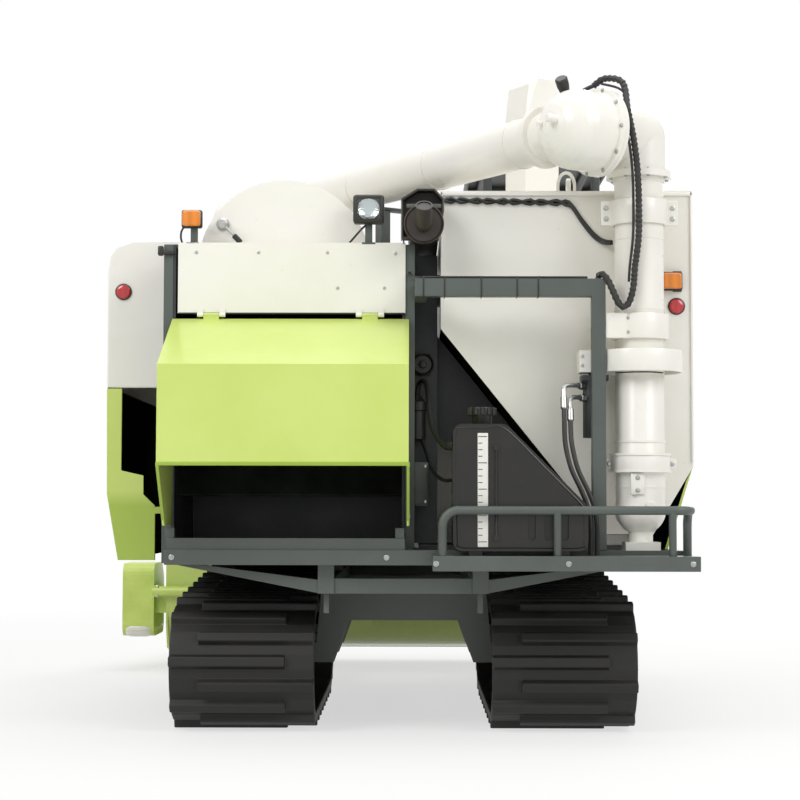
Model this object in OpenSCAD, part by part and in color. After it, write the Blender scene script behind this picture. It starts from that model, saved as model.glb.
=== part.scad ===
// Rubber-tracked full-feed combine harvester: thresher on the left, grain tank on the right, header in front.
// Frame: +X to the machine's right, +Y forward, +Z up; origin on the ground under the middle of the outline.
// Inside the modules Y = 0 is the tracks' rearmost point and X = 0 the middle between the tracks.

/* [Tracks] */
// Distance between the two track centre lines
track_gauge = 1226; // [1150:1:1400]
// Width of one rubber track
track_w = 550; // [450:10:560]
// Rubber band thickness under the lugs
track_band = 35; // [25:1:45]
// Height of a lug above the band
lug_h = 25; // [15:1:35]
// Pitch of the track's links
track_pitch = 90; // [80:1:101]
// Radius of the rear idler
idler_r = 190; // [150:1:195]
// Radius of a bottom roller
roller_r = 85; // [70:1:95]
// Radius of the drive sprocket
sprocket_r = 165; // [140:1:170]
// Forward place of the foremost bottom roller
last_roller_y = 1620; // [1500:10:1700]
// Forward place of the drive sprocket
sprocket_y = 2000; // [1950:10:2060]
// Height of the drive sprocket's axle
sprocket_z = 400; // [390:1:410]

/* [Chassis] */
// Underside of the body's base frame
base_z = 641; // [630:1:660]
// Square tube of the base frame
frame_tube = 56; // [50:1:58]
// Middle of a long chassis tube from the machine's middle
chassis_rail_x = 290; // [270:1:300]
// Rear face of the rearmost cross-beam
base_rear = -120; // [-140:1:-100]

/* [Thresher] */
// Left wall of the threshing body
thresher_left = -890; // [-900:1:-880]
// Right wall of the threshing body
thresher_right = 6; // [0:1:12]
// Rear face of the threshing body
thresher_rear = 80; // [70:1:100]
// Front face of the threshing body
thresher_front = 1950; // [1920:1:1980]
// Top deck of the threshing body
thresher_top = 1868; // [1850:1:1880]
// Sheet of the threshing body's walls
body_wall = 12; // [8:1:16]
// Middle of the threshing drum
drum_x = -466; // [-480:1:-450]
// Radius of the drum cover
drum_cover_r = 335; // [320:1:345]
// Crown of the drum cover
drum_crown = 2130; // [2100:1:2135]
// Sheet of covers and hoods
sheet = 6; // [4:1:8]

/* [Straw hood] */
// Height of the hood's hinge edge
hood_top = 1579; // [1570:1:1590]
// How far the hood reaches behind the body
hood_reach = 430; // [400:1:440]
// Height of the fold between roof and rear panel
hood_fold = 1373; // [1350:1:1390]
// Lower edge of the hood's rear panel
hood_bottom = 1019; // [1000:1:1040]
// Lower edge of the hood's cheeks
cheek_bottom = 787; // [775:1:800]

/* [Side covers] */
// Outer face of the left covers
cover_left = -1185; // [-1200:1:-1170]
// Rear edge of the left covers
cover_rear = 350; // [320:1:380]
// Line where the white and the green cover meet
cover_split = 1327; // [1300:1:1350]
// Top of the white cover
cover_top = 1917; // [1890:1:1925]
// Bottom of the green cover
cover_bottom = 645; // [640:1:660]

/* [Grain tank] */
// Left wall of the grain tank
tank_left = 142; // [138:1:150]
// Right wall of the grain tank
tank_right = 1116; // [1100:1:1130]
// Rear wall of the grain tank
tank_rear = 120; // [115:1:130]
// Front wall of the grain tank
tank_front = 1450; // [1400:1:1460]
// Rim of the grain tank
tank_rim = 2078; // [2060:1:2090]
// Where the hopper's slope starts on the left wall
hopper_top = 1545; // [1520:1:1560]
// Underside of the trough
trough_z = 752; // [745:1:760]
// Height of the raised roof over the rim
roof_rise = 100; // [90:1:110]
// Top of the grain elevator's head
elevator_top = 2700; // [2680:1:2720]
// Sheet of the tank walls
tank_wall = 10; // [8:1:12]

/* [Rear platform] */
// Rear edge of the platform
platform_rear = -300; // [-310:1:-290]
// Top of the platform
platform_top = 680; // [675:1:690]
// Left end of the platform
platform_left = 107; // [100:1:115]
// Right end of the platform
platform_right = 1078; // [1060:1:1090]
// Diameter of the guard rail's tube
rail_d = 32; // [28:1:36]
// Top of the guard rail
rail_top = 862; // [850:1:875]
// Top of the fuel tank
fuel_top = 1162; // [1140:1:1180]

/* [Unloader] */
// Turning axis of the unloading column, to the right
column_x = 894; // [888:1:900]
// Turning axis of the unloading column, forward
column_y = -20; // [-25:1:-15]
// Outer radius of the column's tube
column_r = 93; // [88:1:96]
// Height of the boom's axis when it lies in its cradle
boom_z = 2262; // [2250:1:2275]
// Radius of the boom's tube
boom_r = 95; // [90:1:98]
// Length of the boom from its lifting axis to the spout
boom_len = 2750; // [2650:10:2800]
// Parked heading of the boom, turned left from straight ahead
boom_heading = 33; // [31:0.5:34]
// Boom's middle plane from the column's axis
boom_offset = 305; // [300:1:315]
// Side of the support post
post_w = 52; // [48:1:56]
// Middle of the support post
post_x = 730; // [725:1:735]
// Upper edge of the support beam
beam_top = 1713; // [1700:1:1720]

/* [Operator station] */
// Height of the station's floor
floor_z = 950; // [930:1:970]
// Rear end of the station
station_rear = 1470; // [1465:1:1500]
// Front end of the station
station_front = 2620; // [2580:1:2640]
// Left side of the station
station_left = 60; // [50:1:70]
// Right side of the station
station_right = 1090; // [1070:1:1100]
// Underside of the canopy
canopy_z = 2440; // [2420:1:2460]
// Top of the engine's housing, under the seat
engine_top = 1290; // [1260:1:1320]

/* [Header] */
// Left end of the cut
header_left = -1240; // [-1250:1:-1230]
// Width of the cut
header_w = 2200; // [2150:10:2250]
// Height of the header's underside when parked
header_bottom = 76; // [70:1:90]
// Top of the header's rear wall
header_top = 700; // [680:1:720]
// Forward place of the cutter bar
cutter_y = 3500; // [3480:1:3520]
// Tips of the crop dividers
divider_tip = 4440; // [4380:10:4480]
// Height of the feeder house's pivot
pivot_z = 1180; // [1170:1:1190]
// Forward place of the feeder house's pivot
pivot_y = 2085; // [2080:1:2095]
// Clear width of the feeder house
feeder_w = 560; // [530:1:570]
// Depth of the feeder house
feeder_d = 250; // [240:1:260]
// Middle of the header auger, forward
auger_y = 2935; // [2930:1:2940]
// Middle of the header auger, up
auger_z = 345; // [340:1:350]
// Radius of the auger's tube
auger_tube_r = 130; // [120:1:140]
// Radius over the auger's flights
auger_r = 200; // [195:1:205]
// Outer side of the left drive guard
guard_left = -1480; // [-1490:1:-1470]

/* [Reel] */
// Middle of the reel, forward
reel_y = 3440; // [3435:1:3450]
// Middle of the reel, up
reel_z = 870; // [865:1:880]
// Radius of the tine bars' circle
reel_r = 340; // [330:1:345]
// Length of a tine
tine_len = 185; // [170:1:190]
// Distance between tines
tine_pitch = 110; // [100:1:120]
// Offset of the feathering ring
feather = 70; // [60:1:75]

/* [Lift cylinders] */
// Bore-side outer radius of the header's lift cylinder
lift_barrel_r = 34; // [30:1:36]
// Rod radius of the header's lift cylinder
lift_rod_r = 20; // [18:1:22]
// Outer radius of a reel cylinder's barrel
reel_barrel_r = 17; // [15:1:18]

/* [Hidden] */
$fn = 48;
eps = 1;

// Outline of the whole machine, which the origin is the middle of
hood_rear = thresher_rear - 10 - hood_reach;
frame_x = (guard_left + tank_right) / 2;
frame_y = (hood_rear + divider_tip) / 2;

// Tracks
track_x = track_gauge / 2;
idler_c = lug_h + track_band + idler_r;
track_loop = [[idler_c, idler_c, idler_r + track_band],
    [last_roller_y, lug_h + track_band + roller_r, roller_r + track_band],
    [sprocket_y, sprocket_z, sprocket_r + track_band]];
track_front = sprocket_y + sprocket_r + track_band + lug_h;
deck_z = base_z + frame_tube;

// One loop runs counter-clockwise round circles [y, z, r]; a tangent leaves a circle at its normal's angle
function tangent_angle(a, b) =
    atan2(b[1] - a[1], b[0] - a[0]) - acos((a[2] - b[2]) / norm([b[0] - a[0], b[1] - a[1]]));
function arc_start(c, i) = tangent_angle(c[(i + len(c) - 1) % len(c)], c[i]);
function arc_sweep(c, i) = (tangent_angle(c[i], c[(i + 1) % len(c)]) - arc_start(c, i) + 720) % 360;
function line_len(a, b) = sqrt(pow(b[0] - a[0], 2) + pow(b[1] - a[1], 2) - pow(a[2] - b[2], 2));
function leg_len(c, k) = k % 2 == 0
    ? c[k / 2][2] * arc_sweep(c, k / 2) * PI / 180
    : line_len(c[(k - 1) / 2], c[((k + 1) / 2) % len(c)]);
function leg_sum(c, k) = k == 0 ? 0 : leg_sum(c, k - 1) + leg_len(c, k - 1);
function loop_len(c) = leg_sum(c, 2 * len(c));
function leg_at(c, s, k = 0) = k == 2 * len(c) - 1 || s < leg_sum(c, k + 1) ? k : leg_at(c, s, k + 1);
function polar(c, r, a) = [c[0] + r * cos(a), c[1] + r * sin(a)];
function loop_point(c, s, off) =
    let (k = leg_at(c, s), i = floor(k / 2), u = s - leg_sum(c, k))
    let (turn = k % 2 == 0 ? u / c[i][2] * 180 / PI : arc_sweep(c, i))
    let (a = arc_start(c, i) + turn, run = k % 2 == 0 ? 0 : u)
    polar(c[i], c[i][2] + off, a) + run * [-sin(a), cos(a)];
// Outline round the circles, each arc in m steps
function loop_outline(c, off, m = 10) = [for (i = [0 : len(c) - 1]) for (k = [0 : m])
    polar(c[i], c[i][2] + off, arc_start(c, i) + arc_sweep(c, i) * k / m)];

links = 2 * round(loop_len(track_loop) / track_pitch / 2);
link = loop_len(track_loop) / links;
lug_foot = 0.58 * link;
lug_tip = 0.36 * link;
function lug(s) = [loop_point(track_loop, s - lug_foot / 2, 0), loop_point(track_loop, s - lug_tip / 2, lug_h),
    loop_point(track_loop, s + lug_tip / 2, lug_h), loop_point(track_loop, s + lug_foot / 2, 0)];
function no_lug(s) = [loop_point(track_loop, s - lug_foot / 2, 0), loop_point(track_loop, s + lug_foot / 2, 0)];
// Outer outline with a lug on each link whose number leaves one of the rests when halved
function lug_outline(rests) = [for (i = [0 : links - 1])
    each (len(search(i % 2, rests)) > 0 ? lug((i + 0.5) * link) : no_lug((i + 0.5) * link))];

// Convex outline moved in by t, its points running counter-clockwise
function unit2(v) = v / norm(v);
function cross2(a, b) = a[0] * b[1] - a[1] * b[0];
function inset(p, t) = [for (i = [0 : len(p) - 1])
    let (n = len(p), d0 = unit2(p[i] - p[(i + n - 1) % n]), d1 = unit2(p[(i + 1) % n] - p[i]))
    let (a = p[i] + t * [-d0[1], d0[0]], b = p[i] + t * [-d1[1], d1[0]])
    abs(cross2(d0, d1)) < 0.001 ? a : a + d0 * cross2(b - a, d1) / cross2(d0, d1)];
// Outline with each corner rounded by its radius, the points running counter-clockwise
function rounded(p, r, m = 5) = [for (i = [0 : len(p) - 1])
    let (n = len(p), d0 = unit2(p[i] - p[(i + n - 1) % n]), d1 = unit2(p[(i + 1) % n] - p[i]))
    let (turn = atan2(cross2(d0, d1), d0 * d1), q = len(r) > 1 ? r[i] : r[0])
    let (c = p[i] - d0 * q * tan(turn / 2) + q * [-d0[1], d0[0]], a0 = atan2(-d0[0], d0[1]))
    each (q <= 0 || turn <= 0 ? [p[i]] : [for (k = [0 : m]) polar(c, q, a0 + turn * k / m)])];

module bar(a, b) {
    translate([min(a[0], b[0]), min(a[1], b[1]), min(a[2], b[2])])
        cube([abs(b[0] - a[0]), abs(b[1] - a[1]), abs(b[2] - a[2])]);
}
// Sheet in the YZ plane, from x on, t thick
module plate_x(x, t, p) {
    translate([x, 0, 0])
        rotate([90, 0, 90])
            linear_extrude(t)
                polygon(p);
}
// Sheet in the XZ plane, from y on, t thick
module plate_y(y, t, p) {
    translate([0, y + t, 0])
        rotate([90, 0, 0])
            linear_extrude(t)
                polygon(p);
}
module plate_z(z, t, p) {
    translate([0, 0, z])
        linear_extrude(t)
            polygon(p);
}
module rod_x(x, l, y, z, r) {
    translate([x, y, z])
        rotate([0, 90, 0])
            cylinder(h = l, r = r);
}
module rod_y(y, l, x, z, r) {
    translate([x, y + l, z])
        rotate([90, 0, 0])
            cylinder(h = l, r = r);
}
module rod_z(z, l, x, y, r) {
    translate([x, y, z])
        cylinder(h = l, r = r);
}
// Round bar between two points
module pipe(p, q, r) {
    d = q - p;
    translate(p)
        rotate([0, atan2(norm([d[0], d[1]]), d[2]), atan2(d[1], d[0])])
            cylinder(h = norm(d), r = r);
}
// Quarter-type bend: a piece of torus at c that leaves along d and turns towards n
module bend(c, n, d, turn, br, r) {
    z = cross(-n, d);
    multmatrix([[-n[0], d[0], z[0], c[0]], [-n[1], d[1], z[1], c[1]], [-n[2], d[2], z[2], c[2]], [0, 0, 0, 1]])
        rotate_extrude(angle = turn)
            translate([br, 0])
                circle(r = r);
}
function unit3(v) = v / norm(v);
function turn_at(p, i) = acos(min(1, unit3(p[i] - p[i - 1]) * unit3(p[i + 1] - p[i])));
function cut_at(p, i, br) = i == 0 || i == len(p) - 1 ? 0 : br * tan(turn_at(p, i) / 2);
// Round bar along a row of points, each corner bent to the radius br; a bend swells a little over its straights
lap = 1.5;
swell = 0.4;
module wire(p, r, br) {
    for (i = [0 : len(p) - 2]) {
        d = unit3(p[i + 1] - p[i]);
        a = i == 0 ? 0 : lap;
        b = i == len(p) - 2 ? 0 : lap;
        pipe(p[i] + d * (cut_at(p, i, br) - a), p[i + 1] - d * (cut_at(p, i + 1, br) - b), r);
    }
    for (i = [1 : 1 : len(p) - 2]) {
        d0 = unit3(p[i] - p[i - 1]);
        d1 = unit3(p[i + 1] - p[i]);
        n = unit3(d1 - d0 * (d0 * d1));
        bend(p[i] - d0 * cut_at(p, i, br) + n * br, n, d0, turn_at(p, i), br, r + swell);
    }
}
module place() {
    translate([-frame_x, -frame_y, 0])
        children();
}
module both_sides() {
    for (s = [-1, 1]) {
        scale([s, 1, 1])
            children();
    }
}

// Chassis between the tracks: two long tubes on three arched cross-beams
rail_z = base_z - frame_tube - 52;
arch_y = [470, 1000, 1560];
arch_t = 80;
beam_half = 50;
track_beam_z = 235;
track_beam_h = 80;
arch = [[track_x - beam_half, track_beam_z], [track_x - beam_half, track_beam_z + track_beam_h],
    [chassis_rail_x + 60, track_beam_z + track_beam_h], [chassis_rail_x + 40, rail_z + 10],
    [-chassis_rail_x - 40, rail_z + 10], [-chassis_rail_x - 60, track_beam_z + track_beam_h],
    [beam_half - track_x, track_beam_z + track_beam_h], [beam_half - track_x, track_beam_z],
    [-chassis_rail_x + 10, track_beam_z], [-chassis_rail_x + 70, rail_z - 130],
    [chassis_rail_x - 70, rail_z - 130], [chassis_rail_x - 10, track_beam_z]];
lift_x = -215;
lift_base = [1915, 585];
lift_tip = [2500, 405];
chassis_front = 1880;
module chassis_frame() {
    color("#4E5657") {
        for (y = arch_y) {
            plate_y(y, arch_t, arch);
        }
        both_sides() {
            bar([chassis_rail_x - 30, 0, rail_z], [chassis_rail_x + 30, chassis_front, rail_z + frame_tube]);
            for (y = [-60, 880, chassis_front - 60]) {
                bar([chassis_rail_x - 30, y, rail_z], [chassis_rail_x + 30, y + 60, base_z]);
            }
        }
        bar([-chassis_rail_x, -50, rail_z], [chassis_rail_x, 0, rail_z + frame_tube]);
        bar([-chassis_rail_x, chassis_front - 60, rail_z], [chassis_rail_x, chassis_front, rail_z + frame_tube]);
        plate_y(-55, 50, [[-chassis_rail_x - 20, rail_z], [-chassis_rail_x - 20, rail_z + 50], [-770, base_z],
            [-860, base_z]]);
        plate_y(-55, 50, [[chassis_rail_x + 20, rail_z + 50], [chassis_rail_x + 20, rail_z], [860, base_z],
            [770, base_z]]);
        // Ears that carry the lift cylinder's foot
        for (s = [-1, 1]) {
            difference() {
                plate_x(lift_x + s * 34 - 6, 12, [[chassis_front - eps, rail_z], [lift_base[0] + 30, lift_base[1] - 30],
                    [lift_base[0] + 30, base_z - 16], [chassis_front - eps, base_z - 16]]);
                rod_x(lift_x - 60, 120, lift_base[0], lift_base[1], 14.2);
            }
        }
        rod_x(lift_x - 45, 90, lift_base[0], lift_base[1], 14.4);
        // Tie-down eyes at the rear end of the long tubes
        both_sides() {
            difference() {
                plate_x(chassis_rail_x - 10, 20, [[0, rail_z], [-10, rail_z - 75], [60, rail_z - 75], [90, rail_z]]);
                rod_x(chassis_rail_x - 20, 40, 27, rail_z - 40, 20);
            }
        }
    }
}

// Base frame under thresher and tank, with the thresher's rear uprights
frame_right = platform_right - 20;
base_front = 1940;
module body_frame() {
    color("#4E5657") {
        for (y = [base_rear, 820, base_front - frame_tube]) {
            bar([thresher_left, y, base_z], [frame_right, y + frame_tube, deck_z]);
        }
        for (x = [thresher_left, -604, -chassis_rail_x - 28, thresher_right, 480, frame_right - frame_tube]) {
            bar([x, base_rear, base_z], [x + frame_tube, base_front, deck_z]);
        }
        // Tray behind the sieves
        bar([thresher_left + 8, base_rear + 10, deck_z], [thresher_right, base_rear + 16, deck_z + 44]);
        bar([thresher_left + 8, base_rear + 10, deck_z - 4], [thresher_right, thresher_rear, deck_z]);
        // Uprights beside the thresher
        for (x = [thresher_left - 36, thresher_right]) {
            bar([x, thresher_rear, base_z], [x + 36, thresher_rear + 36, thresher_top]);
        }
        // Struts under the hood's cheeks
        for (x = [thresher_left + 2, thresher_right - 36]) {
            bar([x, base_rear + 16, deck_z], [x + 34, base_rear + 40, cheek_bottom - 8]);
        }
    }
}

// Track frames with the idler's yoke and the rollers' axles
axle_y = [for (k = [0 : 5]) last_roller_y - k * 205];
roller_z = lug_h + track_band + roller_r;
carrier_y = 1130;
carrier_r = 55;
carrier_z = loop_point(track_loop, leg_sum(track_loop, 5) + sprocket_y - carrier_y, -track_band)[1] - carrier_r - 2;
module track_frame() {
    bar([track_x - beam_half, idler_c + 60, track_beam_z], [track_x + beam_half, last_roller_y + 40,
        track_beam_z + track_beam_h]);
    for (x = [track_x - beam_half, track_x + beam_half - 12]) {
        plate_x(x, 12, [[idler_c - 45, idler_c - 45], [idler_c + 70, track_beam_z], [idler_c + 70,
            track_beam_z + track_beam_h], [idler_c - 45, idler_c + 45]]);
    }
    rod_x(track_x - 130, 260, idler_c, idler_c, 28);
    for (y = axle_y) {
        for (x = [track_x - 24, track_x + 12]) {
            plate_x(x, 12, [[y - 30, roller_z - 26], [y + 30, roller_z - 26], [y + 45, track_beam_z],
                [y - 45, track_beam_z]]);
        }
        rod_x(track_x - 100, 200, y, roller_z, 20);
    }
    plate_x(track_x - 10, 20, [[carrier_y - 50, track_beam_z + track_beam_h], [carrier_y + 50, track_beam_z +
        track_beam_h], [carrier_y + 22, carrier_z + 24], [carrier_y - 22, carrier_z + 24]]);
    rod_x(track_x - 90, 180, carrier_y, carrier_z, 18);
}
module track_frames() {
    color("#3E4445")
        both_sides()
            track_frame();
}

// One rubber track: band with staggered lugs, wide ones in the middle strip
lug_strip = 0.2 * track_w;
module track_strip(x, w, rests) {
    difference() {
        plate_x(x, w, lug_outline(rests));
        plate_x(x - eps, w + 2 * eps, loop_outline(track_loop, -track_band, 14));
    }
}
module track(x) {
    track_strip(x - track_w / 2, lug_strip, [1]);
    track_strip(x - track_w / 2 + lug_strip, track_w - 2 * lug_strip, [0, 1]);
    track_strip(x + track_w / 2 - lug_strip, lug_strip, [0]);
}
module track_left() {
    color("#23211F")
        track(-track_x);
}
module track_right() {
    color("#23211F")
        track(track_x);
}

// Idlers, bottom rollers and carrier rollers, each on its axle's ends
module wheel(x, w, y, z, r, hole) {
    difference() {
        rod_x(x, w, y, z, r);
        rod_x(x - eps, w + 2 * eps, y, z, hole);
    }
}
module track_wheels() {
    color("#33302D")
        both_sides() {
            for (s = [-1, 1]) {
                wheel(track_x + s * 95 - 40, 80, idler_c, idler_c, idler_r - 1.5, 28.3);
                for (y = axle_y) {
                    wheel(track_x + s * 65 - 35, 70, y, roller_z, roller_r - 1.5, 20.3);
                }
                wheel(track_x + s * 55 - 30, 60, carrier_y, carrier_z, carrier_r, 18.3);
            }
        }
}

// Drive sprockets: hub, web and a cage of driving pins
module drive_sprockets() {
    color("#4A4F50")
        both_sides() {
            rod_x(track_x - 70, 140, sprocket_y, sprocket_z, 70);
            for (x = [track_x - 70, track_x + 58]) {
                rod_x(x, 12, sprocket_y, sprocket_z, sprocket_r - 26);
            }
            for (k = [0 : 11]) {
                rod_x(track_x - 70, 140, sprocket_y + (sprocket_r - 20) * cos(30 * k),
                    sprocket_z + (sprocket_r - 20) * sin(30 * k), 16);
            }
        }
}

// Gearbox between the sprockets, with its axle tubes
module gearbox() {
    color("#5C6566") {
        bar([-150, chassis_front, 330], [170, 2130, 632]);
        bar([-90, thresher_front + 6, 630], [110, 2100, 820]);
        rod_x(-track_x + 70, 2 * track_x - 140, sprocket_y, sprocket_z, 50);
        both_sides() {
            rod_x(track_x - 110, 38, sprocket_y, sprocket_z, 105);
        }
    }
}

// Engine, one plain block with head, sump and front pulley
engine_x = [330, 880];
engine_y = [1540, 1960];
module engine() {
    color("#565B58") {
        bar([engine_x[0], engine_y[0] + 40, deck_z + 140], [engine_x[1], engine_y[1] - 40, 1080]);
        bar([engine_x[0] + 30, engine_y[0] + 90, 1080], [engine_x[1] - 60, engine_y[1] - 90, 1210]);
        bar([engine_x[0] + 40, engine_y[0] + 80, deck_z], [engine_x[1] - 80, engine_y[1] - 80, deck_z + 140]);
        rod_x(engine_x[0] - 90, 90, 1750, 900, 150);
        rod_x(engine_x[1], 40, 1750, 930, 90);
    }
}

// Housing over the engine; its right side is closed by the screen
housing_x = [tank_left, station_right - 30];
screen_gap = 5;
module engine_housing() {
    color("#F3F1EA")
        difference() {
            bar([housing_x[0], station_rear, deck_z], [housing_x[1], 2080, engine_top]);
            bar([housing_x[0] + 10, station_rear + 10, deck_z - eps], [housing_x[1] - 10, 2070, engine_top - 10]);
            bar([housing_x[1] - 20, station_rear + 50, deck_z + 60], [housing_x[1] + eps, 2030, engine_top - 60]);
            bar([housing_x[0] - eps, station_rear + 60, deck_z - eps], [housing_x[0] + 20, 2000, engine_top - 90]);
        }
    // Hinge pins of the screen
    color("#F3F1EA")
        for (z = hinge_z) {
            rod_z(z - 15, hinge_h + 30, hinge_c[0], hinge_c[1], 4);
            for (e = [z - 15, z + hinge_h + 1]) {
                rod_z(e, 14, hinge_c[0], hinge_c[1], 9);
                bar([housing_x[1] - 4, hinge_c[1] - 6, e], [hinge_c[0], hinge_c[1] + 6, e + 14]);
            }
        }
}
screen_z = [deck_z + 30, engine_top - 30];
screen_y = [station_rear + 25, 2055];
hinge_c = [housing_x[1] + screen_gap + 14, screen_y[0] - 16];
hinge_h = 40;
hinge_z = [screen_z[0] + 60, screen_z[1] - 100];
module engine_screen() {
    x = housing_x[1] + screen_gap;
    color("#3A3F3E") {
        difference() {
            bar([x, screen_y[0], screen_z[0]], [x + 28, screen_y[1], screen_z[1]]);
            bar([x - eps, screen_y[0] + 35, screen_z[0] + 35], [x + 29, screen_y[1] - 35, screen_z[1] - 35]);
        }
        for (k = [1 : 12]) {
            bar([x + 6, screen_y[0] + 30, screen_z[0] + 35 + k * 36], [x + 18, screen_y[1] - 30,
                screen_z[0] + 51 + k * 36]);
        }
        bar([x + 4, (screen_y[0] + screen_y[1]) / 2 - 10, screen_z[0] + 30], [x + 22, (screen_y[0] + screen_y[1]) / 2
            + 10, screen_z[1] - 30]);
        for (z = hinge_z) {
            difference() {
                union() {
                    rod_z(z, hinge_h, hinge_c[0], hinge_c[1], 9);
                    bar([hinge_c[0] - 5, hinge_c[1], z], [hinge_c[0] + 5, screen_y[0] + 4, z + hinge_h]);
                }
                rod_z(z - eps, hinge_h + 2 * eps, hinge_c[0], hinge_c[1], 4.4);
            }
        }
    }
}

// Threshing body: side walls, front wall with the feeder's mouth, deck and straw guide
mouth_z = [pivot_z - 110, pivot_z + 110];
module thresher_body() {
    l = thresher_left;
    r = thresher_right;
    color("#6A7072") {
        difference() {
            bar([l, thresher_rear, deck_z], [r, thresher_front, thresher_top]);
            bar([l + body_wall, thresher_rear - eps, deck_z + body_wall], [r - body_wall, thresher_front - body_wall,
                thresher_top - body_wall]);
            bar([drum_x - feeder_w / 2, thresher_front - 20, mouth_z[0]], [drum_x + feeder_w / 2, thresher_front + eps,
                mouth_z[1]]);
        }
        plate_x(l + body_wall - eps, r - l - 2 * body_wall + 2 * eps, [[900, 1560], [260, 905], [268, 897],
            [908, 1552]]);
        bar([l + body_wall - eps, 700, deck_z + body_wall - eps], [r - body_wall + eps, 710, 1300]);
        // Leg of the grain elevator and its chute to the tank
        bar([r - eps, 300, deck_z + 20], [r + 126, 420, 1856]);
        bar([r + 125, 320, 1660], [tank_left, 400, 1780]);
        // Bearings of the feeder house's pivot
        for (s = [-1, 1]) {
            difference() {
                plate_x(drum_x + s * (feeder_w / 2 + 62) - 14, 28, [[thresher_front - eps, pivot_z - 90],
                    [pivot_y + 20, pivot_z - 55], [pivot_y + 60, pivot_z], [pivot_y + 20, pivot_z + 55],
                    [thresher_front - eps, pivot_z + 90]]);
                rod_x(drum_x + s * (feeder_w / 2 + 62) - 20, 40, pivot_y, pivot_z, 40.5);
            }
        }
    }
}

// Drum cover: a round lid along the thresher
drum_rear = 150;
drum_z = drum_crown - drum_cover_r;
module drum_cover() {
    color("#F3F1EA")
        difference() {
            rod_y(drum_rear, thresher_front - drum_rear - 10, drum_x, drum_z, drum_cover_r);
            rod_y(drum_rear + 10, thresher_front - drum_rear - 30, drum_x, drum_z, drum_cover_r - 10);
            bar([drum_x - 500, 0, 1000], [drum_x + 500, thresher_front + 100, thresher_top]);
        }
}

// White panel above the straw hood
module rear_panel() {
    color("#F3F1EA") {
        bar([thresher_left + 20, thresher_rear - 8, hood_top + 22], [thresher_right, thresher_rear, thresher_top]);
        bar([thresher_left + 20, thresher_rear - 8, thresher_top], [thresher_right, thresher_rear + 60,
            thresher_top + 6]);
        // Hinge pins of the straw hood
        for (x = knuckle_x) {
            rod_x(x - 24, 108, hood_pin[0], hood_pin[1], 4);
            for (e = [x - 24, x + 61]) {
                rod_x(e, 23, hood_pin[0], hood_pin[1], 8);
                bar([e, thresher_rear - 16, hood_pin[1]], [e + 23, thresher_rear - 4, hood_pin[1] + 26]);
            }
        }
    }
}

// Straw hood: sloping roof, rear panel with lip, and two cheeks, hinged at its top edge
hood_front = thresher_rear - 10;
hood_left = thresher_left;
hood_pin = [hood_front - 4, hood_top + 14];
hood_right = thresher_right + 14;
knuckle_x = [hood_left + 120, hood_right - 180];
hood_outer = [[hood_front, hood_top], [hood_rear, hood_fold], [hood_rear, hood_bottom],
    [hood_rear + sheet, hood_bottom], [hood_rear + sheet, hood_fold - 4], [hood_front, hood_top - 7]];
hood_cheek = [[hood_front, hood_top - 7], [hood_rear + sheet, hood_fold - 4], [hood_rear + sheet, hood_bottom],
    [hood_rear + 190, cheek_bottom], [hood_front, cheek_bottom]];
module straw_hood() {
    color("#D2E37C") {
        plate_x(hood_left, hood_right - hood_left, hood_outer);
        bar([hood_left, hood_rear, hood_bottom], [hood_right, hood_rear + 40, hood_bottom + sheet]);
        for (x = [hood_left, hood_right - sheet]) {
            plate_x(x, sheet, hood_cheek);
        }
        // Hinge knuckles
        for (x = knuckle_x) {
            difference() {
                union() {
                    rod_x(x, 60, hood_pin[0], hood_pin[1], 8);
                    bar([x, hood_pin[0] - 6, hood_top - 10], [x + 60, hood_pin[0] + 3, hood_top + 10]);
                }
                rod_x(x - eps, 60 + 2 * eps, hood_pin[0], hood_pin[1], 4.4);
            }
        }
    }
}

// Left covers: white above, green below, open towards the thresher
upper_face = [[thresher_left, cover_split + 3], [thresher_left, cover_top], [cover_left + 90, cover_top],
    [cover_left + 40, cover_top - 18], [cover_left + 10, cover_top - 60], [cover_left, cover_top - 120],
    [cover_left, cover_split + 3]];
module left_upper_cover() {
    color("#F3F1EA")
        difference() {
            plate_y(cover_rear, thresher_front - cover_rear, upper_face);
            plate_y(cover_rear + 12, thresher_front - cover_rear - 24, [[thresher_left + 5, cover_split - 10],
                [thresher_left + 5, cover_top - 10], [cover_left + 94, cover_top - 10], [cover_left + 48, cover_top - 27],
                [cover_left + 20, cover_top - 66], [cover_left + 12, cover_top - 122], [cover_left + 12,
                cover_split - 10]]);
        }
}
lower_face = [[cover_left, cover_split], [cover_left + 4, 905], [cover_left + 50, cover_bottom], [cover_left + 198,
    cover_bottom], [cover_left + 198, 860], [cover_left + 150, 905], [cover_left + 150, 980], [cover_left + 62, 1000],
    [cover_left + 62, cover_split]];
module left_lower_cover() {
    skin = [[cover_left, cover_split], [cover_left + 4, 905], [cover_left + 50, cover_bottom], [cover_left + 64,
        cover_bottom], [cover_left + 16, 905], [cover_left + 12, cover_split]];
    color("#D2E37C") {
        plate_y(cover_rear, thresher_front - cover_rear, skin);
        plate_y(cover_rear, 12, lower_face);
        plate_y(thresher_front - 12, 12, lower_face);
        for (y = [cover_rear, thresher_front - 12]) {
            bar([cover_left + 190, y, 830], [thresher_left, y + 12, 856]);
        }
    }
}

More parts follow.
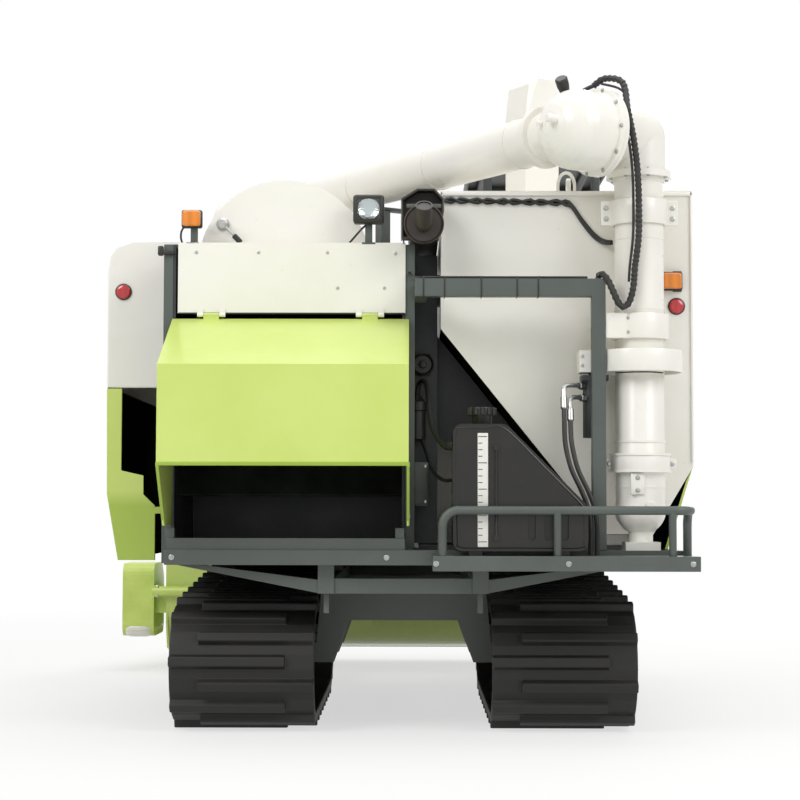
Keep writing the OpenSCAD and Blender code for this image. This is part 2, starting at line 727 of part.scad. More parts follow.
// Belt drive on the thresher's left wall
drive_loop = [[520, 1010, 90], [1250, 900, 140], [1700, 1180, 110]];
fan_loop = [[820, 1120, 70], [1250, 900, 70], [1020, 1450, 105]];
module belt(x, c) {
    difference() {
        plate_x(x, 24, loop_outline(c, 11, 12));
        plate_x(x - eps, 24 + 2 * eps, loop_outline(c, 0.5, 12));
    }
}
module side_drive() {
    x = thresher_left - 90;
    color("#3E4445") {
        for (c = drive_loop) {
            rod_x(x - 3, 30, c[0], c[1], c[2]);
            rod_x(x + 27, 63, c[0], c[1], 24);
        }
        for (c = [fan_loop[0], fan_loop[2]]) {
            rod_x(x - 53, 30, c[0], c[1], c[2]);
            rod_x(x - 23, 113, c[0], c[1], 20);
        }
        rod_x(x - 53, 50, fan_loop[1][0], fan_loop[1][1], fan_loop[1][2]);
        belt(x, drive_loop);
        belt(x - 50, fan_loop);
    }
}

// Green skirt under the grain tank's right wall
module right_lower_cover() {
    color("#D2E37C")
        plate_y(tank_rear + 20, tank_front - tank_rear - 40, [[tank_right, 1013], [tank_right - 98, deck_z],
            [tank_right - 110, deck_z], [tank_right - 26, 960], [tank_right - 0.8, 1013]]);
}

// Grain tank: five-sided hopper, open at the top under its roof
tank_shape = [[tank_left, hopper_top], [780, trough_z], [960, trough_z], [tank_right, 1015], [tank_right, tank_rim],
    [tank_left, tank_rim]];
module grain_tank() {
    s = inset(tank_shape, tank_wall);
    inner = [for (p = s) [p[0], p[1] > tank_rim - 2 * tank_wall ? tank_rim + eps : p[1]]];
    color("#F3F1EA") {
        difference() {
            plate_y(tank_rear, tank_front - tank_rear, tank_shape);
            plate_y(tank_rear + tank_wall, tank_front - tank_rear - 2 * tank_wall, inner);
        }
        // Leg on the base frame's middle beam
        bar([830, 826, deck_z], [950, 870, trough_z + eps]);
    }
}

// Roof of the tank, raised in the middle, with its lifting eye
roof_top = tank_rim + roof_rise;
eye_c = [640, tank_rear + 30, tank_rim + 34];
module roof_shape(d) {
    z = tank_rim + sheet;
    polyhedron(points = [[tank_left + d, tank_rear + 60 + d, z - d], [tank_right - d, tank_rear + 60 + d, z - d],
        [tank_right - d, tank_front - d, z - d], [tank_left + d, tank_front - d, z - d], [480 + d, 760 + d,
        roof_top - d], [760 - d, 760 + d, roof_top - d], [760 - d, 1380 - d, roof_top - d], [480 + d, 1380 - d,
        roof_top - d]], faces = [[0, 1, 2, 3], [7, 6, 5, 4], [1, 0, 4, 5], [2, 1, 5, 6], [3, 2, 6, 7], [0, 3, 7, 4]]);
}
module tank_roof() {
    color("#F3F1EA") {
        difference() {
            union() {
                bar([tank_left, tank_rear, tank_rim], [tank_right, tank_front, tank_rim + sheet]);
                roof_shape(0);
            }
            roof_shape(7);
        }
        difference() {
            plate_x(eye_c[0] - 8, 16, [[tank_rear, tank_rim], [tank_rear + 60, tank_rim], [tank_rear + 52, eye_c[2] +
                14], [tank_rear + 42, eye_c[2] + 24], [tank_rear + 18, eye_c[2] + 24], [tank_rear + 8, eye_c[2] + 14]]);
            rod_x(eye_c[0] - 20, 40, eye_c[1], eye_c[2], 14);
        }
    }
}

// Head of the grain elevator, standing on the roof
module elevator_head() {
    h = elevator_top - roof_top;
    color("#F3F1EA")
        translate([550, 940, roof_top])
            rotate([0, 0, 30])
                difference() {
                    plate_y(-80, 160, [[-85, 0], [85, 0], [85, h], [-20, h], [-68, h - 30], [-85, h - 170]]);
                    plate_y(-72, 144, [[-77, -eps], [77, -eps], [77, h - 8], [-18, h - 8], [-62, h - 36], [-77, h - 172]]);
                }
}

// Muffler between thresher and tank, with its rear flange, cowl, down pipe and open tail pipe
muffler_x = 76;
muffler_z = 1930;
muffler_r = 60;
cowl = [[-8, 1880], [130, 1880], [150, 1985], [150, 2030], [115, 2068], [52, 2068], [-8, 2030]];
cowl_in = [[-3, 1885], [126, 1885], [145, 1986], [145, 2028], [113, 2063], [54, 2063], [-3, 2027]];
module exhaust() {
    tail = [[muffler_x, -39, muffler_z], [muffler_x, -85, muffler_z], [muffler_x, -135, muffler_z + 55]];
    out = unit3(tail[2] - tail[1]);
    color("#6B6358") {
        rod_y(-30, 1180, muffler_x, muffler_z, muffler_r);
        rod_y(-40, 16, muffler_x, muffler_z, muffler_r + 14);
        difference() {
            wire(tail, 31, 40);
            pipe(tail[2] - out * 50, tail[2] + out, 26);
        }
        difference() {
            plate_y(-14, 74, cowl);
            plate_y(-14 - eps, 68, cowl_in);
        }
        wire([[muffler_x, 1149, muffler_z], [muffler_x, 1700, muffler_z], [muffler_x, 1745, 1120], [engine_x[0] + 30,
            1745, 1120]], 24, 90);
    }
}

// Rear platform beside the fuel tank
module rear_platform() {
    color("#4E5657") {
        bar([platform_left, platform_rear, platform_top - 55], [platform_right, platform_rear + 40, platform_top]);
        bar([platform_left, platform_rear + 40, platform_top - 6], [platform_right, base_rear, platform_top]);
        for (x = [platform_left + 20, 560, platform_right - 60]) {
            bar([x, platform_rear + 40, platform_top - 50], [x + 40, base_rear, platform_top - 6]);
        }
    }
}

// Guard rail of bent tube on the platform's edge
rail_r = rail_d / 2;
rail_y = platform_rear + 20;
module guard_rail() {
    z = rail_top - rail_r;
    l = 143;
    r = 1052;
    color("#4E5657") {
        wire([[l, rail_y, platform_top], [l, rail_y, z], [r, rail_y, z], [r, -142, z], [r, -142, platform_top]],
            rail_r, 60);
        for (x = [561, 979]) {
            pipe([x, rail_y, platform_top], [x, rail_y, z], rail_r - 2);
        }
    }
}

// Fuel tank: moulded box with a slanted shoulder and flutes
fuel_y = [-250, -20];
fuel_shape = rounded([[182, deck_z], [676, deck_z], [676, 862], [376, fuel_top], [182, fuel_top]],
    [35, 35, 40, 40, 35]);
module fuel_tank() {
    color("#2F2D28")
        difference() {
            union() {
                plate_y(fuel_y[0], fuel_y[1] - fuel_y[0], fuel_shape);
                for (x = [240, 560]) {
                    bar([x, fuel_y[0] + 20, platform_top], [x + 50, base_rear - 2, deck_z + 10]);
                }
            }
            for (x = [470, 530, 590]) {
                bar([x - 14, fuel_y[0] - eps, 750], [x + 14, fuel_y[0] + 12, 850]);
                rod_y(fuel_y[0] - eps, 12 + eps, x, 850, 14);
                rod_y(fuel_y[0] - eps, 12 + eps, x, 750, 14);
            }
        }
}
module fuel_fittings() {
    color("#1E1E1C") {
        rod_z(fuel_top, 34, 292, -150, 36);
        rod_z(fuel_top + 34, 30, 292, -150, 47);
        rod_z(740, 340, 340, fuel_y[0] - 6, 5);
        for (z = [735, 1065]) {
            bar([330, fuel_y[0] - 12, z], [350, fuel_y[0], z + 20]);
        }
    }
}

// Foot of the unloader: pedestal, elbow from the tank's trough and fixed lower tube
ring_z = [1365, 1448];
inlet_z = 850;
module unloader_base() {
    color("#F3F1EA")
        difference() {
            union() {
                bar([column_x - 65, base_rear + 20, deck_z], [column_x + 65, column_y + 60, 728]);
                rod_z(720, 60, column_x, column_y, 46);
                translate([column_x, column_y, inlet_z])
                    sphere(r = column_r + 3);
                rod_z(inlet_z, ring_z[0] - 4 - inlet_z, column_x, column_y, column_r);
                rod_z(994, 56, column_x, column_y, column_r + 20);
                rod_y(column_y, tank_rear - column_y, column_x, inlet_z, column_r - 8);
            }
            rod_z(inlet_z, 600, column_x, column_y, column_r - 6);
        }
}

// Dark post and beam that hold the column
post_y = [base_rear, base_rear + post_w];
beam_bottom = beam_top - 67;
module unloader_support() {
    color("#4E5657") {
        bar([post_x - post_w / 2, post_y[0], deck_z], [post_x + post_w / 2, post_y[1], beam_top]);
        bar([thresher_right + 36, post_y[0], beam_bottom], [post_x + post_w / 2, post_y[1], beam_top]);
        bar([thresher_right + 36, post_y[0], beam_bottom], [thresher_right + 80, thresher_rear + 36, beam_top]);
        plate_x(post_x - 8, 16, [[post_y[0] + 5, deck_z], [post_y[1] + 70, deck_z], [post_y[1], deck_z + 80]]);
    }
}

// White guard over the swing gear, lower bearing and upper collar of the column
bearing_z = [1490, 1585];
collar_z = [1925, 2020];
motor_c = [post_x - 8, column_y + 8];
module ring_guard() {
    color("#F3F1EA") {
        difference() {
            union() {
                rod_z(ring_z[0], ring_z[1] - ring_z[0], column_x, column_y, 160);
                bar([motor_c[0] - 60, post_y[1], ring_z[0]], [column_x, column_y + 80, ring_z[1]]);
            }
            rod_z(ring_z[0] - eps, ring_z[1] - ring_z[0] - 5, column_x, column_y, 152);
            bar([motor_c[0] - 52, post_y[1] + 12, ring_z[0] - eps], [column_x, column_y + 72, ring_z[1] - 6]);
            rod_z(ring_z[0], 200, column_x, column_y, column_r + 5);
            bar([600, tank_rear - 2, 1300], [1200, 300, 1500]);
            bar([post_x - 40, post_y[0] - 10, 1300], [post_x + post_w / 2 + 2, post_y[1], 1500]);
        }
        difference() {
            union() {
                rod_z(bearing_z[0], bearing_z[1] - bearing_z[0], column_x, column_y, column_r + 18);
                bar([post_x + post_w / 2, post_y[0] + 5, bearing_z[0]], [column_x, post_y[1] - 5, bearing_z[1]]);
            }
            rod_z(bearing_z[0] - eps, 200, column_x, column_y, column_r + 1.5);
        }
        difference() {
            union() {
                rod_z(collar_z[0], collar_z[1] - collar_z[0], column_x, column_y, column_r + 14);
                bar([column_x - 145, column_y - 16, collar_z[0]], [column_x + 145, column_y + 16, collar_z[1]]);
                bar([column_x - 60, column_y + 60, collar_z[0] + 15], [column_x + 60, tank_rear, collar_z[1] - 15]);
            }
            rod_z(collar_z[0] - eps, 200, column_x, column_y, column_r + 1.5);
        }
    }
}

// Hydraulic motor that swings the column, on a bracket at the post, with two ports for its hoses
function hose_x(k) = 624 - 24 * k;
function hose_at(k, d) = let(v = motor_c + d * unit2([hose_x(k), -90] - motor_c)) [v[0], v[1], 1270 + 45 * k];
module swing_motor() {
    color("#5A5F52") {
        rod_z(1120, 215, motor_c[0], motor_c[1], 43);
        bar([motor_c[0] - 50, motor_c[1] - 50, 1335], [motor_c[0] + 50, motor_c[1] + 50, 1355]);
        rod_z(1355, 75, motor_c[0], motor_c[1], 22);
        bar([motor_c[0] - 24, post_y[1], 1300], [motor_c[0] + 24, motor_c[1], 1354]);
        for (k = [0, 1]) {
            pipe(hose_at(k, 0), hose_at(k, 78), 11);
        }
    }
}
module motor_hoses() {
    color("#1E1E1C")
        for (k = [0, 1]) {
            x = hose_x(k);
            wire([hose_at(k, 78.1), [x, -90, 1270 + 45 * k], [x, -150, 1040], [x + 92, -165, 900], [x + 92, -165,
                platform_top]], 9, 50);
        }
}

// Turning column with its ring gear and the elbow that carries the boom
flange_r = 165;
module at_boom() {
    translate([column_x, column_y, boom_z])
        rotate([0, 0, boom_heading])
            children();
}
module unloader_column() {
    color("#F3F1EA") {
        difference() {
            union() {
                rod_z(ring_z[0] + 1, 2104 - ring_z[0] - 1, column_x, column_y, column_r);
                rod_z(1385, 35, column_x, column_y, 128);
                rod_z(2104, 24, column_x, column_y, column_r + 30);
            }
            rod_z(ring_z[0], 720, column_x, column_y, column_r - 6);
        }
        at_boom() {
            translate([0, 0, 2120 - boom_z])
                cylinder(h = boom_z - 2120, r = 104);
            sphere(r = 104);
            rod_x(-182, 182, 0, 0, 104);
            rod_x(-196, 16, 0, 0, flange_r);
        }
    }
}

// Boom: bowl over the lifting axis, long tube and spout
module unloader_boom() {
    o = boom_offset;
    bowl = concat([[0, -196.5], [flange_r, -196.5], [flange_r, -212], [150, -214]], [for (k = [0 : 8])
        [150 * cos(90 * k / 8), -o - 4 - 126 * sin(90 * k / 8)]]);
    color("#F3F1EA")
        at_boom()
            difference() {
                union() {
                    rotate([0, 90, 0])
                        rotate_extrude()
                            polygon([for (p = bowl) [max(p[0], 0), p[1]]]);
                    rod_y(0, boom_len, -o, 0, boom_r);
                    rod_y(172, 26, -o, 0, boom_r + 22);
                    rod_y(boom_len - 30, 30, -o, 0, boom_r + 12);
                    translate([-o, boom_len - 125, -230])
                        cylinder(h = 230, r = 88);
                }
                rod_y(180, boom_len - 200, -o, 0, boom_r - 6);
                translate([-o, boom_len - 125, -240])
                    cylinder(h = 240, r = 80);
            }
}

// Cradle the parked boom lies in, on the thresher's deck
cradle_s = 1350;
module boom_cradle() {
    color("#4E5657")
        translate([0, 0, -boom_z])
            at_boom()
                translate([-boom_offset, cradle_s, 0]) {
                    bar([-20, -25, thresher_top], [25, 25, boom_z - boom_r - 28]);
                    bar([-60, -30, boom_z - boom_r - 30], [boom_r + 35, 30, boom_z - boom_r - 18]);
                    bar([boom_r + 25, -30, boom_z - boom_r - 30], [boom_r + 35, 30, boom_z - 10]);
                }
}

// Lamps and reflectors at the rear
module rear_lamps() {
    color("#D9822B") {
        bar([-856, thresher_rear - 30, 1933], [-778, thresher_rear + 30, 1999]);
        bar([-840, thresher_rear, thresher_top + 6], [-794, thresher_rear + 8, 1940]);
        bar([996, tank_rear - 45, 1697], [1074, tank_rear, 1763]);
        bar([-194, thresher_rear - 40, 1949], [-78, thresher_rear + 30, 2053]);
        bar([-150, thresher_rear, thresher_top + 6], [-122, thresher_rear + 8, 1960]);
        rod_y(cover_rear - 10, 10, -1122, 1714, 30);
        rod_y(tank_rear - 10, 10, 1054, 1634, 30);
    }
}

// Floor of the operator's station with its carriers, front apron and step
module station_floor() {
    color("#4E5657") {
        bar([station_left, 2090, floor_z - 12], [station_right, station_front, floor_z]);
        bar([station_left, station_front - 12, floor_z - 230], [station_right, station_front, floor_z]);
        for (x = [180, 900]) {
            bar([x, base_front, base_z], [x + 50, station_front - 12, base_z + 50]);
            for (y = [2100, station_front - 80]) {
                bar([x, y, base_z + 50], [x + 50, y + 50, floor_z - 12]);
            }
        }
        bar([station_right - 40, 2200, 640], [station_right, 2500, 655]);
        for (y = [2200, 2490]) {
            bar([station_right - 40, y, 640], [station_right, y + 10, floor_z - 12]);
        }
    }
}

// Front console with steering lever, side console with gear levers
module control_console() {
    color("#3A3F3E") {
        plate_x(360, 560, [[2500, floor_z], [2610, floor_z], [2610, 1390], [2560, 1450], [2470, 1420], [2470, 1330],
            [2540, 1300]]);
        bar([station_left + 10, 2095, floor_z], [station_left + 190, 2600, 1330]);
        pipe([780, 2500, 1430], [780, 2470, 1580], 11);
        translate([780, 2468, 1590])
            sphere(r = 28);
        for (y = [2230, 2330, 2430]) {
            pipe([station_left + 100, y, 1325], [station_left + 110, y - 15, 1480], 9);
            translate([station_left + 110, y - 15, 1490])
                sphere(r = 22);
        }
    }
}

// Seat on the engine's housing
module seat_base() {
    color("#3A3F3E") {
        bar([480, 1720, engine_top], [820, 2030, engine_top + 90]);
        bar([500, 1662, engine_top + 20], [800, 1722, engine_top + 600]);
    }
}
module seat_pads() {
    color("#232323") {
        bar([430, 1724, engine_top + 90], [870, 2100, engine_top + 190]);
        bar([440, 1722, engine_top + 200], [860, 1800, engine_top + 620]);
    }
}

// Canopy over the operator, on two posts behind the seat
canopy_x = [380, 880];
canopy_rail = canopy_z + 47.8;
module canopy_frame() {
    color("#3A3F3E") {
        for (x = canopy_x) {
            wire([[x, station_rear + 45, engine_top], [x, station_rear + 45, canopy_rail], [x, station_front - 80,
                canopy_rail]], 20, 70);
        }
        for (y = [station_rear + 150, station_front - 120]) {
            bar([canopy_x[0], y, canopy_z + 28], [canopy_x[1], y + 40, canopy_z + 68]);
        }
    }
}
module canopy_roof() {
    color("#3A3F3E")
        difference() {
            bar([300, station_rear + 10, canopy_z], [960, station_front - 10, canopy_z + 80]);
            bar([312, station_rear + 22, canopy_z - eps], [948, station_front - 22, canopy_z + 68]);
        }
}

// Feeder house from its pivot down to the header's rear wall
header_rear = auger_y - auger_r - 16;
header_right = header_left + header_w;
feeder_l = drum_x - feeder_w / 2;
feeder_r = drum_x + feeder_w / 2;
feeder_foot = 430;
feeder_dir = unit2([header_rear - pivot_y, feeder_foot - pivot_z]);
feeder_up = [-feeder_dir[1], feeder_dir[0]];
half_d = feeder_d / 2;
function along(h, y) = let (p = [pivot_y, pivot_z] + h * feeder_up) p + feeder_dir * (y - p[0]) / feeder_dir[0];
module feeder_house() {
    top = [pivot_y, pivot_z] + half_d * feeder_up;
    low = [pivot_y, pivot_z] - half_d * feeder_up;
    w = 10;
    color("#D2E37C") {
        difference() {
            union() {
                plate_x(feeder_l - w, feeder_w + 2 * w, [low, along(-half_d, header_rear), along(half_d, header_rear),
                    top]);
                rod_x(feeder_l - w, feeder_w + 2 * w, pivot_y, pivot_z, half_d);
            }
            plate_x(feeder_l, feeder_w, [[pivot_y, pivot_z] - (half_d - w) * feeder_up, along(w - half_d, header_rear +
                20), along(half_d - w, header_rear + 20), [pivot_y, pivot_z] + (half_d - w) * feeder_up]);
        }
        rod_x(feeder_l - 80, 80 - w, pivot_y, pivot_z, 40);
        rod_x(feeder_r + w, 80 - w, pivot_y, pivot_z, 40);
        for (s = [-1, 1]) {
            difference() {
                plate_x(lift_x + s * 34 - 6, 12, [lift_tip + [-40, -10], lift_tip + [0, -34], lift_tip + [40, -10],
                    along(1 - half_d, lift_tip[0] + 70), along(1 - half_d, lift_tip[0] - 70)]);
                rod_x(lift_x - 60, 120, lift_tip[0], lift_tip[1], 13.8);
            }
        }
        rod_x(lift_x - 44, 88, lift_tip[0], lift_tip[1], 14);
    }
}

// Header trough: rear wall bent round the auger, floor, side sheets and beam
trough_r = auger_r + 8;
reel_pivot = [header_rear - 30, 770];
arm_x = [header_left + 35, header_right - 75];
arm_w = 40;
reel_foot = [2810, 560];
reel_tip = [3060, 765];
module header_platform() {
    t = 8;
    outer = [for (k = [0 : 10]) polar([auger_y, auger_z], trough_r + t, 180 + 10.5 * k)];
    inner = [for (k = [10 : -1 : 0]) polar([auger_y, auger_z], trough_r, 180 + 10.5 * k)];
    side = [[header_rear, header_top], [header_rear, 260], [header_rear + 60, 120], [2980, header_bottom], [cutter_y,
        header_bottom], [cutter_y + 60, header_bottom + 60], [cutter_y + 10, 260], [3150, 560], [2950, header_top]];
    color("#D2E37C") {
        difference() {
            plate_x(header_left, header_w, concat([[header_rear, header_top]], outer, [[cutter_y - 30, header_bottom +
                2], [cutter_y - 30, header_bottom + 10]], inner, [[header_rear + t, header_top]]));
            bar([feeder_l, header_rear - 20, 250], [feeder_r, header_rear + 60, 600]);
        }
        for (x = [header_left - 10, header_right]) {
            difference() {
                plate_x(x, 10, side);
                rod_x(x - 5, 20, auger_y, auger_z, 25.5);
            }
        }
        bar([header_left, header_rear - 60, header_top - 60], [feeder_l - 12, header_rear, header_top]);
        bar([feeder_r + 12, header_rear - 60, header_top - 60], [header_right, header_rear, header_top]);
        // Ears of the reel arms and feet of the reel cylinders
        for (x = arm_x) {
            for (e = [x - 16, x + arm_w + 6]) {
                plate_x(e, 10, [[header_rear - 60, header_top - eps], [header_rear, header_top - eps], [header_rear - 10,
                    reel_pivot[1] + 24], [header_rear - 50, reel_pivot[1] + 24]]);
            }
            rod_x(x - 16, arm_w + 32, reel_pivot[0], reel_pivot[1], 12);
        }
        rod_x(header_left - eps, 62 + eps, reel_foot[0], reel_foot[1], 8);
        rod_x(header_right - 82, 82 + eps, reel_foot[0], reel_foot[1], 8);
    }
}

// Cutter bar with its fingers
finger_pitch = 76.2;
fingers = floor(header_w / finger_pitch);
finger_x0 = header_left + (header_w - fingers * finger_pitch) / 2;
module cutter_bar() {
    comb = [for (k = [0 : fingers - 1]) let (x = finger_x0 + (k + 0.5) * finger_pitch)
        each [[x - 16, cutter_y + 20], [x - 3, cutter_y + 96], [x + 3, cutter_y + 96], [x + 16, cutter_y + 20]]];
    color("#5C6566")
        plate_z(header_bottom, 14, concat([[header_left, cutter_y - 30], [header_left, cutter_y + 20]], comb,
            [[header_right, cutter_y + 20], [header_right, cutter_y - 30]]));
}

// Crop dividers on the outer faces of the side sheets
module divider(x, s) {
    p = [[0, 3200, 100], [55, 3200, 120], [55, 3200, 420], [0, 3200, 480], [0, divider_tip, 105], [16, divider_tip -
        6, 112], [0, divider_tip - 12, 140]];
    f = [[3, 2, 1], [3, 1, 0], [0, 1, 5], [0, 5, 4], [1, 2, 6], [1, 6, 5], [2, 3, 6], [3, 0, 4], [3, 4, 6], [4, 5, 6]];
    polyhedron(points = [for (q = p) [x + s * q[0], q[1], q[2]]], faces = s > 0 ? f : [for (q = f) [q[2], q[1], q[0]]]);
}
module crop_dividers() {
    color("#D2E37C") {
        divider(header_left - 10, -1);
        divider(header_right + 10, 1);
    }
}

// Drive at the header's left end: guard over the belts and the cross shaft
shaft_y = header_rear - 32;
module header_drive() {
    g = rounded([[2740, 180], [3150, 180], [3150, 480], [3060, 560], [2740, 560]], [60, 60, 60, 40, 60]);
    color("#D2E37C") {
        plate_x(guard_left, 164, g);
        bar([guard_left + 164, 2790, 300], [header_left - 10, 2880, 400]);
        bar([guard_left + 164, shaft_y - 20, 390], [guard_left + 190, 2800, 446]);
        rod_x(guard_left + 164, feeder_l - 10 - guard_left - 164, shaft_y, 418, 27);
    }
}

// Header auger: tube with two counter-wound flights and feeding fingers
module flight(l, turns) {
    rotate([90, 0, 90])
        linear_extrude(height = l, twist = -turns * 360, slices = ceil(abs(turns) * 18), $fn = 4)
            polygon([[auger_tube_r - 4, -10], [auger_r, -8], [auger_r, 8], [auger_tube_r - 4, 10]]);
}
module header_auger() {
    x0 = header_left + 8;
    x1 = header_right - 8;
    color("#5C6566") {
        difference() {
            rod_x(x0, x1 - x0, auger_y, auger_z, auger_tube_r);
            rod_x(x0 - eps, x1 - x0 + 2 * eps, auger_y, auger_z, auger_tube_r - 8);
        }
        for (x = [x0 + 10, x1 - 22]) {
            bar([x, auger_y - auger_tube_r + 4, auger_z - 30], [x + 12, auger_y + auger_tube_r - 4, auger_z + 30]);
        }
        rod_x(header_left - 14, header_w + 28, auger_y, auger_z, 25);
        translate([x0 + 8, auger_y, auger_z])
            flight(feeder_l - x0 - 8, 1.6);
        translate([feeder_r, auger_y, auger_z])
            flight(x1 - feeder_r - 8, -3.6);
        for (k = [0 : 5]) {
            rotate_finger = 60 * k;
            pipe([feeder_l + 50 + k * 92, auger_y, auger_z], [feeder_l + 50 + k * 92, auger_y + (auger_r - 2) *
                cos(rotate_finger), auger_z + (auger_r - 2) * sin(rotate_finger)], 8);
        }
    }
}

// Reel arms with the bearing eyes and the fixed disc of the feathering ring
disc_r = 112;
arm_tip = [reel_y + 45, reel_z + 6];
module reel_arms() {
    color("#4E5657") {
        for (x = arm_x) {
            difference() {
                union() {
                    plate_x(x, arm_w, [reel_pivot + [-34, -26], [reel_tip[0], 785], [reel_y + 30, reel_z - 45], [reel_y +
                        50, reel_z], [reel_y + 30, reel_z + 45], [reel_tip[0], 850], reel_pivot + [-34, 34]]);
                    plate_x(x + 8, arm_w - 16, [[reel_tip[0] - 60, 790], [reel_tip[0] - 16, reel_tip[1] - 16],
                        [reel_tip[0] + 16, reel_tip[1] - 16], [reel_tip[0] + 60, 795]]);
                }
                rod_x(x - 5, arm_w + 10, reel_pivot[0], reel_pivot[1], 12.4);
                rod_x(x - 5, arm_w + 10, reel_y, reel_z, 28.5);
            }
            rod_x(x - 14, arm_w + 28, reel_tip[0], reel_tip[1], 8);
        }
        difference() {
            rod_x(arm_x[1] - 36, 36, reel_y, reel_z + feather, disc_r);
            rod_x(arm_x[1] - 40, 50, reel_y, reel_z, 32);
        }
    }
}

// Reel: shaft and three five-armed spiders
spider_x = [header_left + 140, header_left + header_w / 2 - 60, arm_x[1] - 110];
function bar_at(k) = polar([reel_y, reel_z], reel_r, 90 + 72 * k);
module reel() {
    color("#D2E37C") {
        rod_x(arm_x[0], arm_x[1] + arm_w - arm_x[0], reel_y, reel_z, 28);
        for (x = spider_x) {
            rod_x(x - 14, 40, reel_y, reel_z, 58);
            difference() {
                for (k = [0 : 4]) {
                    translate([x, reel_y, reel_z])
                        rotate([72 * k, 0, 0]) {
                            bar([0, -18, 40], [12, 18, reel_r]);
                            rod_x(0, 12, 0, reel_r, 28);
                        }
                }
                for (k = [0 : 4]) {
                    rod_x(x - 5, 22, bar_at(k)[0], bar_at(k)[1], 15.2);
                }
            }
        }
    }
}

// Tine bar k, which stays level while the reel turns
bar_end = arm_x[1] - 66;
function free_x(x) = min([for (s = spider_x) abs(x - s - 6)]) > 24;
module tine_bar(k) {
    c = bar_at(k);
    x0 = spider_x[0] - 24;
    n = floor((bar_end - 60 - x0) / tine_pitch);
    color("#3A3F3E") {
        rod_x(x0, bar_end - x0, c[0], c[1], 14.8);
        for (j = [0 : n]) {
            x = x0 + 62 + j * tine_pitch;
            if (free_x(x) && x < bar_end - 30) {
                pipe([x, c[0], c[1]], [x, c[0], c[1] - tine_len], 4.5);
            }
        }
        bar([bar_end - 14, c[0] - 12, c[1]], [bar_end, c[0] + 12, c[1] + feather]);
        rod_x(bar_end - 14, 14, c[0], c[1] + feather, 15);
        rod_x(bar_end - 1, 30, c[0], c[1] + feather, 8);
    }
}
module tine_bar_1() {
    tine_bar(0);
}
module tine_bar_2() {
    tine_bar(1);
}
module tine_bar_3() {
    tine_bar(2);
}
module tine_bar_4() {
    tine_bar(3);
}
module tine_bar_5() {
    tine_bar(4);
}

// Ring that keeps the tine bars level, turning on the fixed disc
module feather_ring() {
    x = bar_end + 10;
    color("#D2E37C")
        difference() {
            union() {
                rod_x(x, 16, reel_y, reel_z + feather, disc_r + 26);
                for (k = [0 : 4]) {
                    translate([x, reel_y, reel_z + feather])
                        rotate([72 * k, 0, 0]) {
                            bar([1, -16, 122], [15, 16, reel_r - 4]);
                            rod_x(0, 16, 0, reel_r, 22);
                        }
                }
            }
            rod_x(x - 5, 30, reel_y, reel_z + feather, disc_r + 1.2);
            for (k = [0 : 4]) {
                rod_x(x - 5, 30, bar_at(k)[0], bar_at(k)[1] + feather, 8.4);
            }
        }
}

// Hydraulic cylinders: barrel on the fixed side, rod on the moving side
module along_cylinder(x, a, b) {
    translate([x, a[0], a[1]])
        rotate([atan2(b[1] - a[1], b[0] - a[0]), 0, 0])
            children();
}
lift_len = norm(lift_tip - lift_base);
barrel_len = 400;
module lift_barrel() {
    color("#3A3F3E")
        along_cylinder(lift_x, lift_base, lift_tip)
            difference() {
                union() {
                    rod_x(-26, 52, 0, 0, 26);
                    rod_y(10, barrel_len - 10, 0, 0, lift_barrel_r - 9);
                    rod_y(42, barrel_len - 42, 0, 0, lift_barrel_r);
                }
                rod_x(-40, 80, 0, 0, 14.8);
                rod_y(60, barrel_len, 0, 0, lift_rod_r + 0.5);
            }
}
module lift_rod() {
    color("#C8CCCC")
        along_cylinder(lift_x, lift_base, lift_tip)
            difference() {
                union() {
                    rod_y(75, lift_len - 75, 0, 0, lift_rod_r);
                    rod_x(-26, 52, lift_len, 0, 36);
                }
                rod_x(-40, 80, lift_len, 0, 24);
            }
}
reel_cyl_x = [arm_x[0] + arm_w / 2, arm_x[1] + arm_w / 2];
reel_cyl_len = norm(reel_tip - reel_foot);
module reel_barrels() {
    color("#3A3F3E")
        for (x = reel_cyl_x) {
            along_cylinder(x, reel_foot, reel_tip)
                difference() {
                    union() {
                        rod_x(-14, 28, 0, 0, 17);
                        rod_y(8, 212, 0, 0, reel_barrel_r);
                    }
                    rod_x(-40, 80, 0, 0, 8.4);
                    rod_y(30, 300, 0, 0, 9.5);
                }
        }
}
module reel_rods() {
    color("#C8CCCC")
        for (x = reel_cyl_x) {
            along_cylinder(x, reel_foot, reel_tip)
                difference() {
                    union() {
                        rod_y(45, reel_cyl_len - 75, 0, 0, 9);
                        bar([-33, reel_cyl_len - 42, -10], [33, reel_cyl_len - 28, 10]);
                        for (s = [-1, 1]) {
                            bar([s * 26 - 7, reel_cyl_len - 42, -10], [s * 26 + 7, reel_cyl_len, 10]);
                            rod_x(s * 26 - 7, 14, reel_cyl_len, 0, 17);
                        }
                    }
                    rod_x(-40, 80, reel_cyl_len, 0, 12);
                }
        }
}

place() chassis_frame();
place() body_frame();
place() track_frames();
place() track_left();
place() track_right();
place() track_wheels();
place() drive_sprockets();
place() gearbox();
place() engine();
place() engine_housing();
place() engine_screen();
place() thresher_body();
place() drum_cover();
place() rear_panel();
place() straw_hood();
place() left_upper_cover();
place() left_lower_cover();
place() side_drive();
place() right_lower_cover();
place() grain_tank();
place() tank_roof();
place() elevator_head();
place() exhaust();
place() rear_platform();
place() guard_rail();
place() fuel_tank();
place() fuel_fittings();
place() unloader_base();
place() unloader_support();
place() ring_guard();
place() swing_motor();
place() motor_hoses();
place() unloader_column();
place() unloader_boom();
place() boom_cradle();
place() rear_lamps();
place() station_floor();
place() control_console();
place() seat_base();
place() seat_pads();
place() canopy_frame();
place() canopy_roof();
place() feeder_house();
place() header_platform();
place() cutter_bar();
place() crop_dividers();
place() header_drive();
place() header_auger();
place() reel_arms();
place() reel();
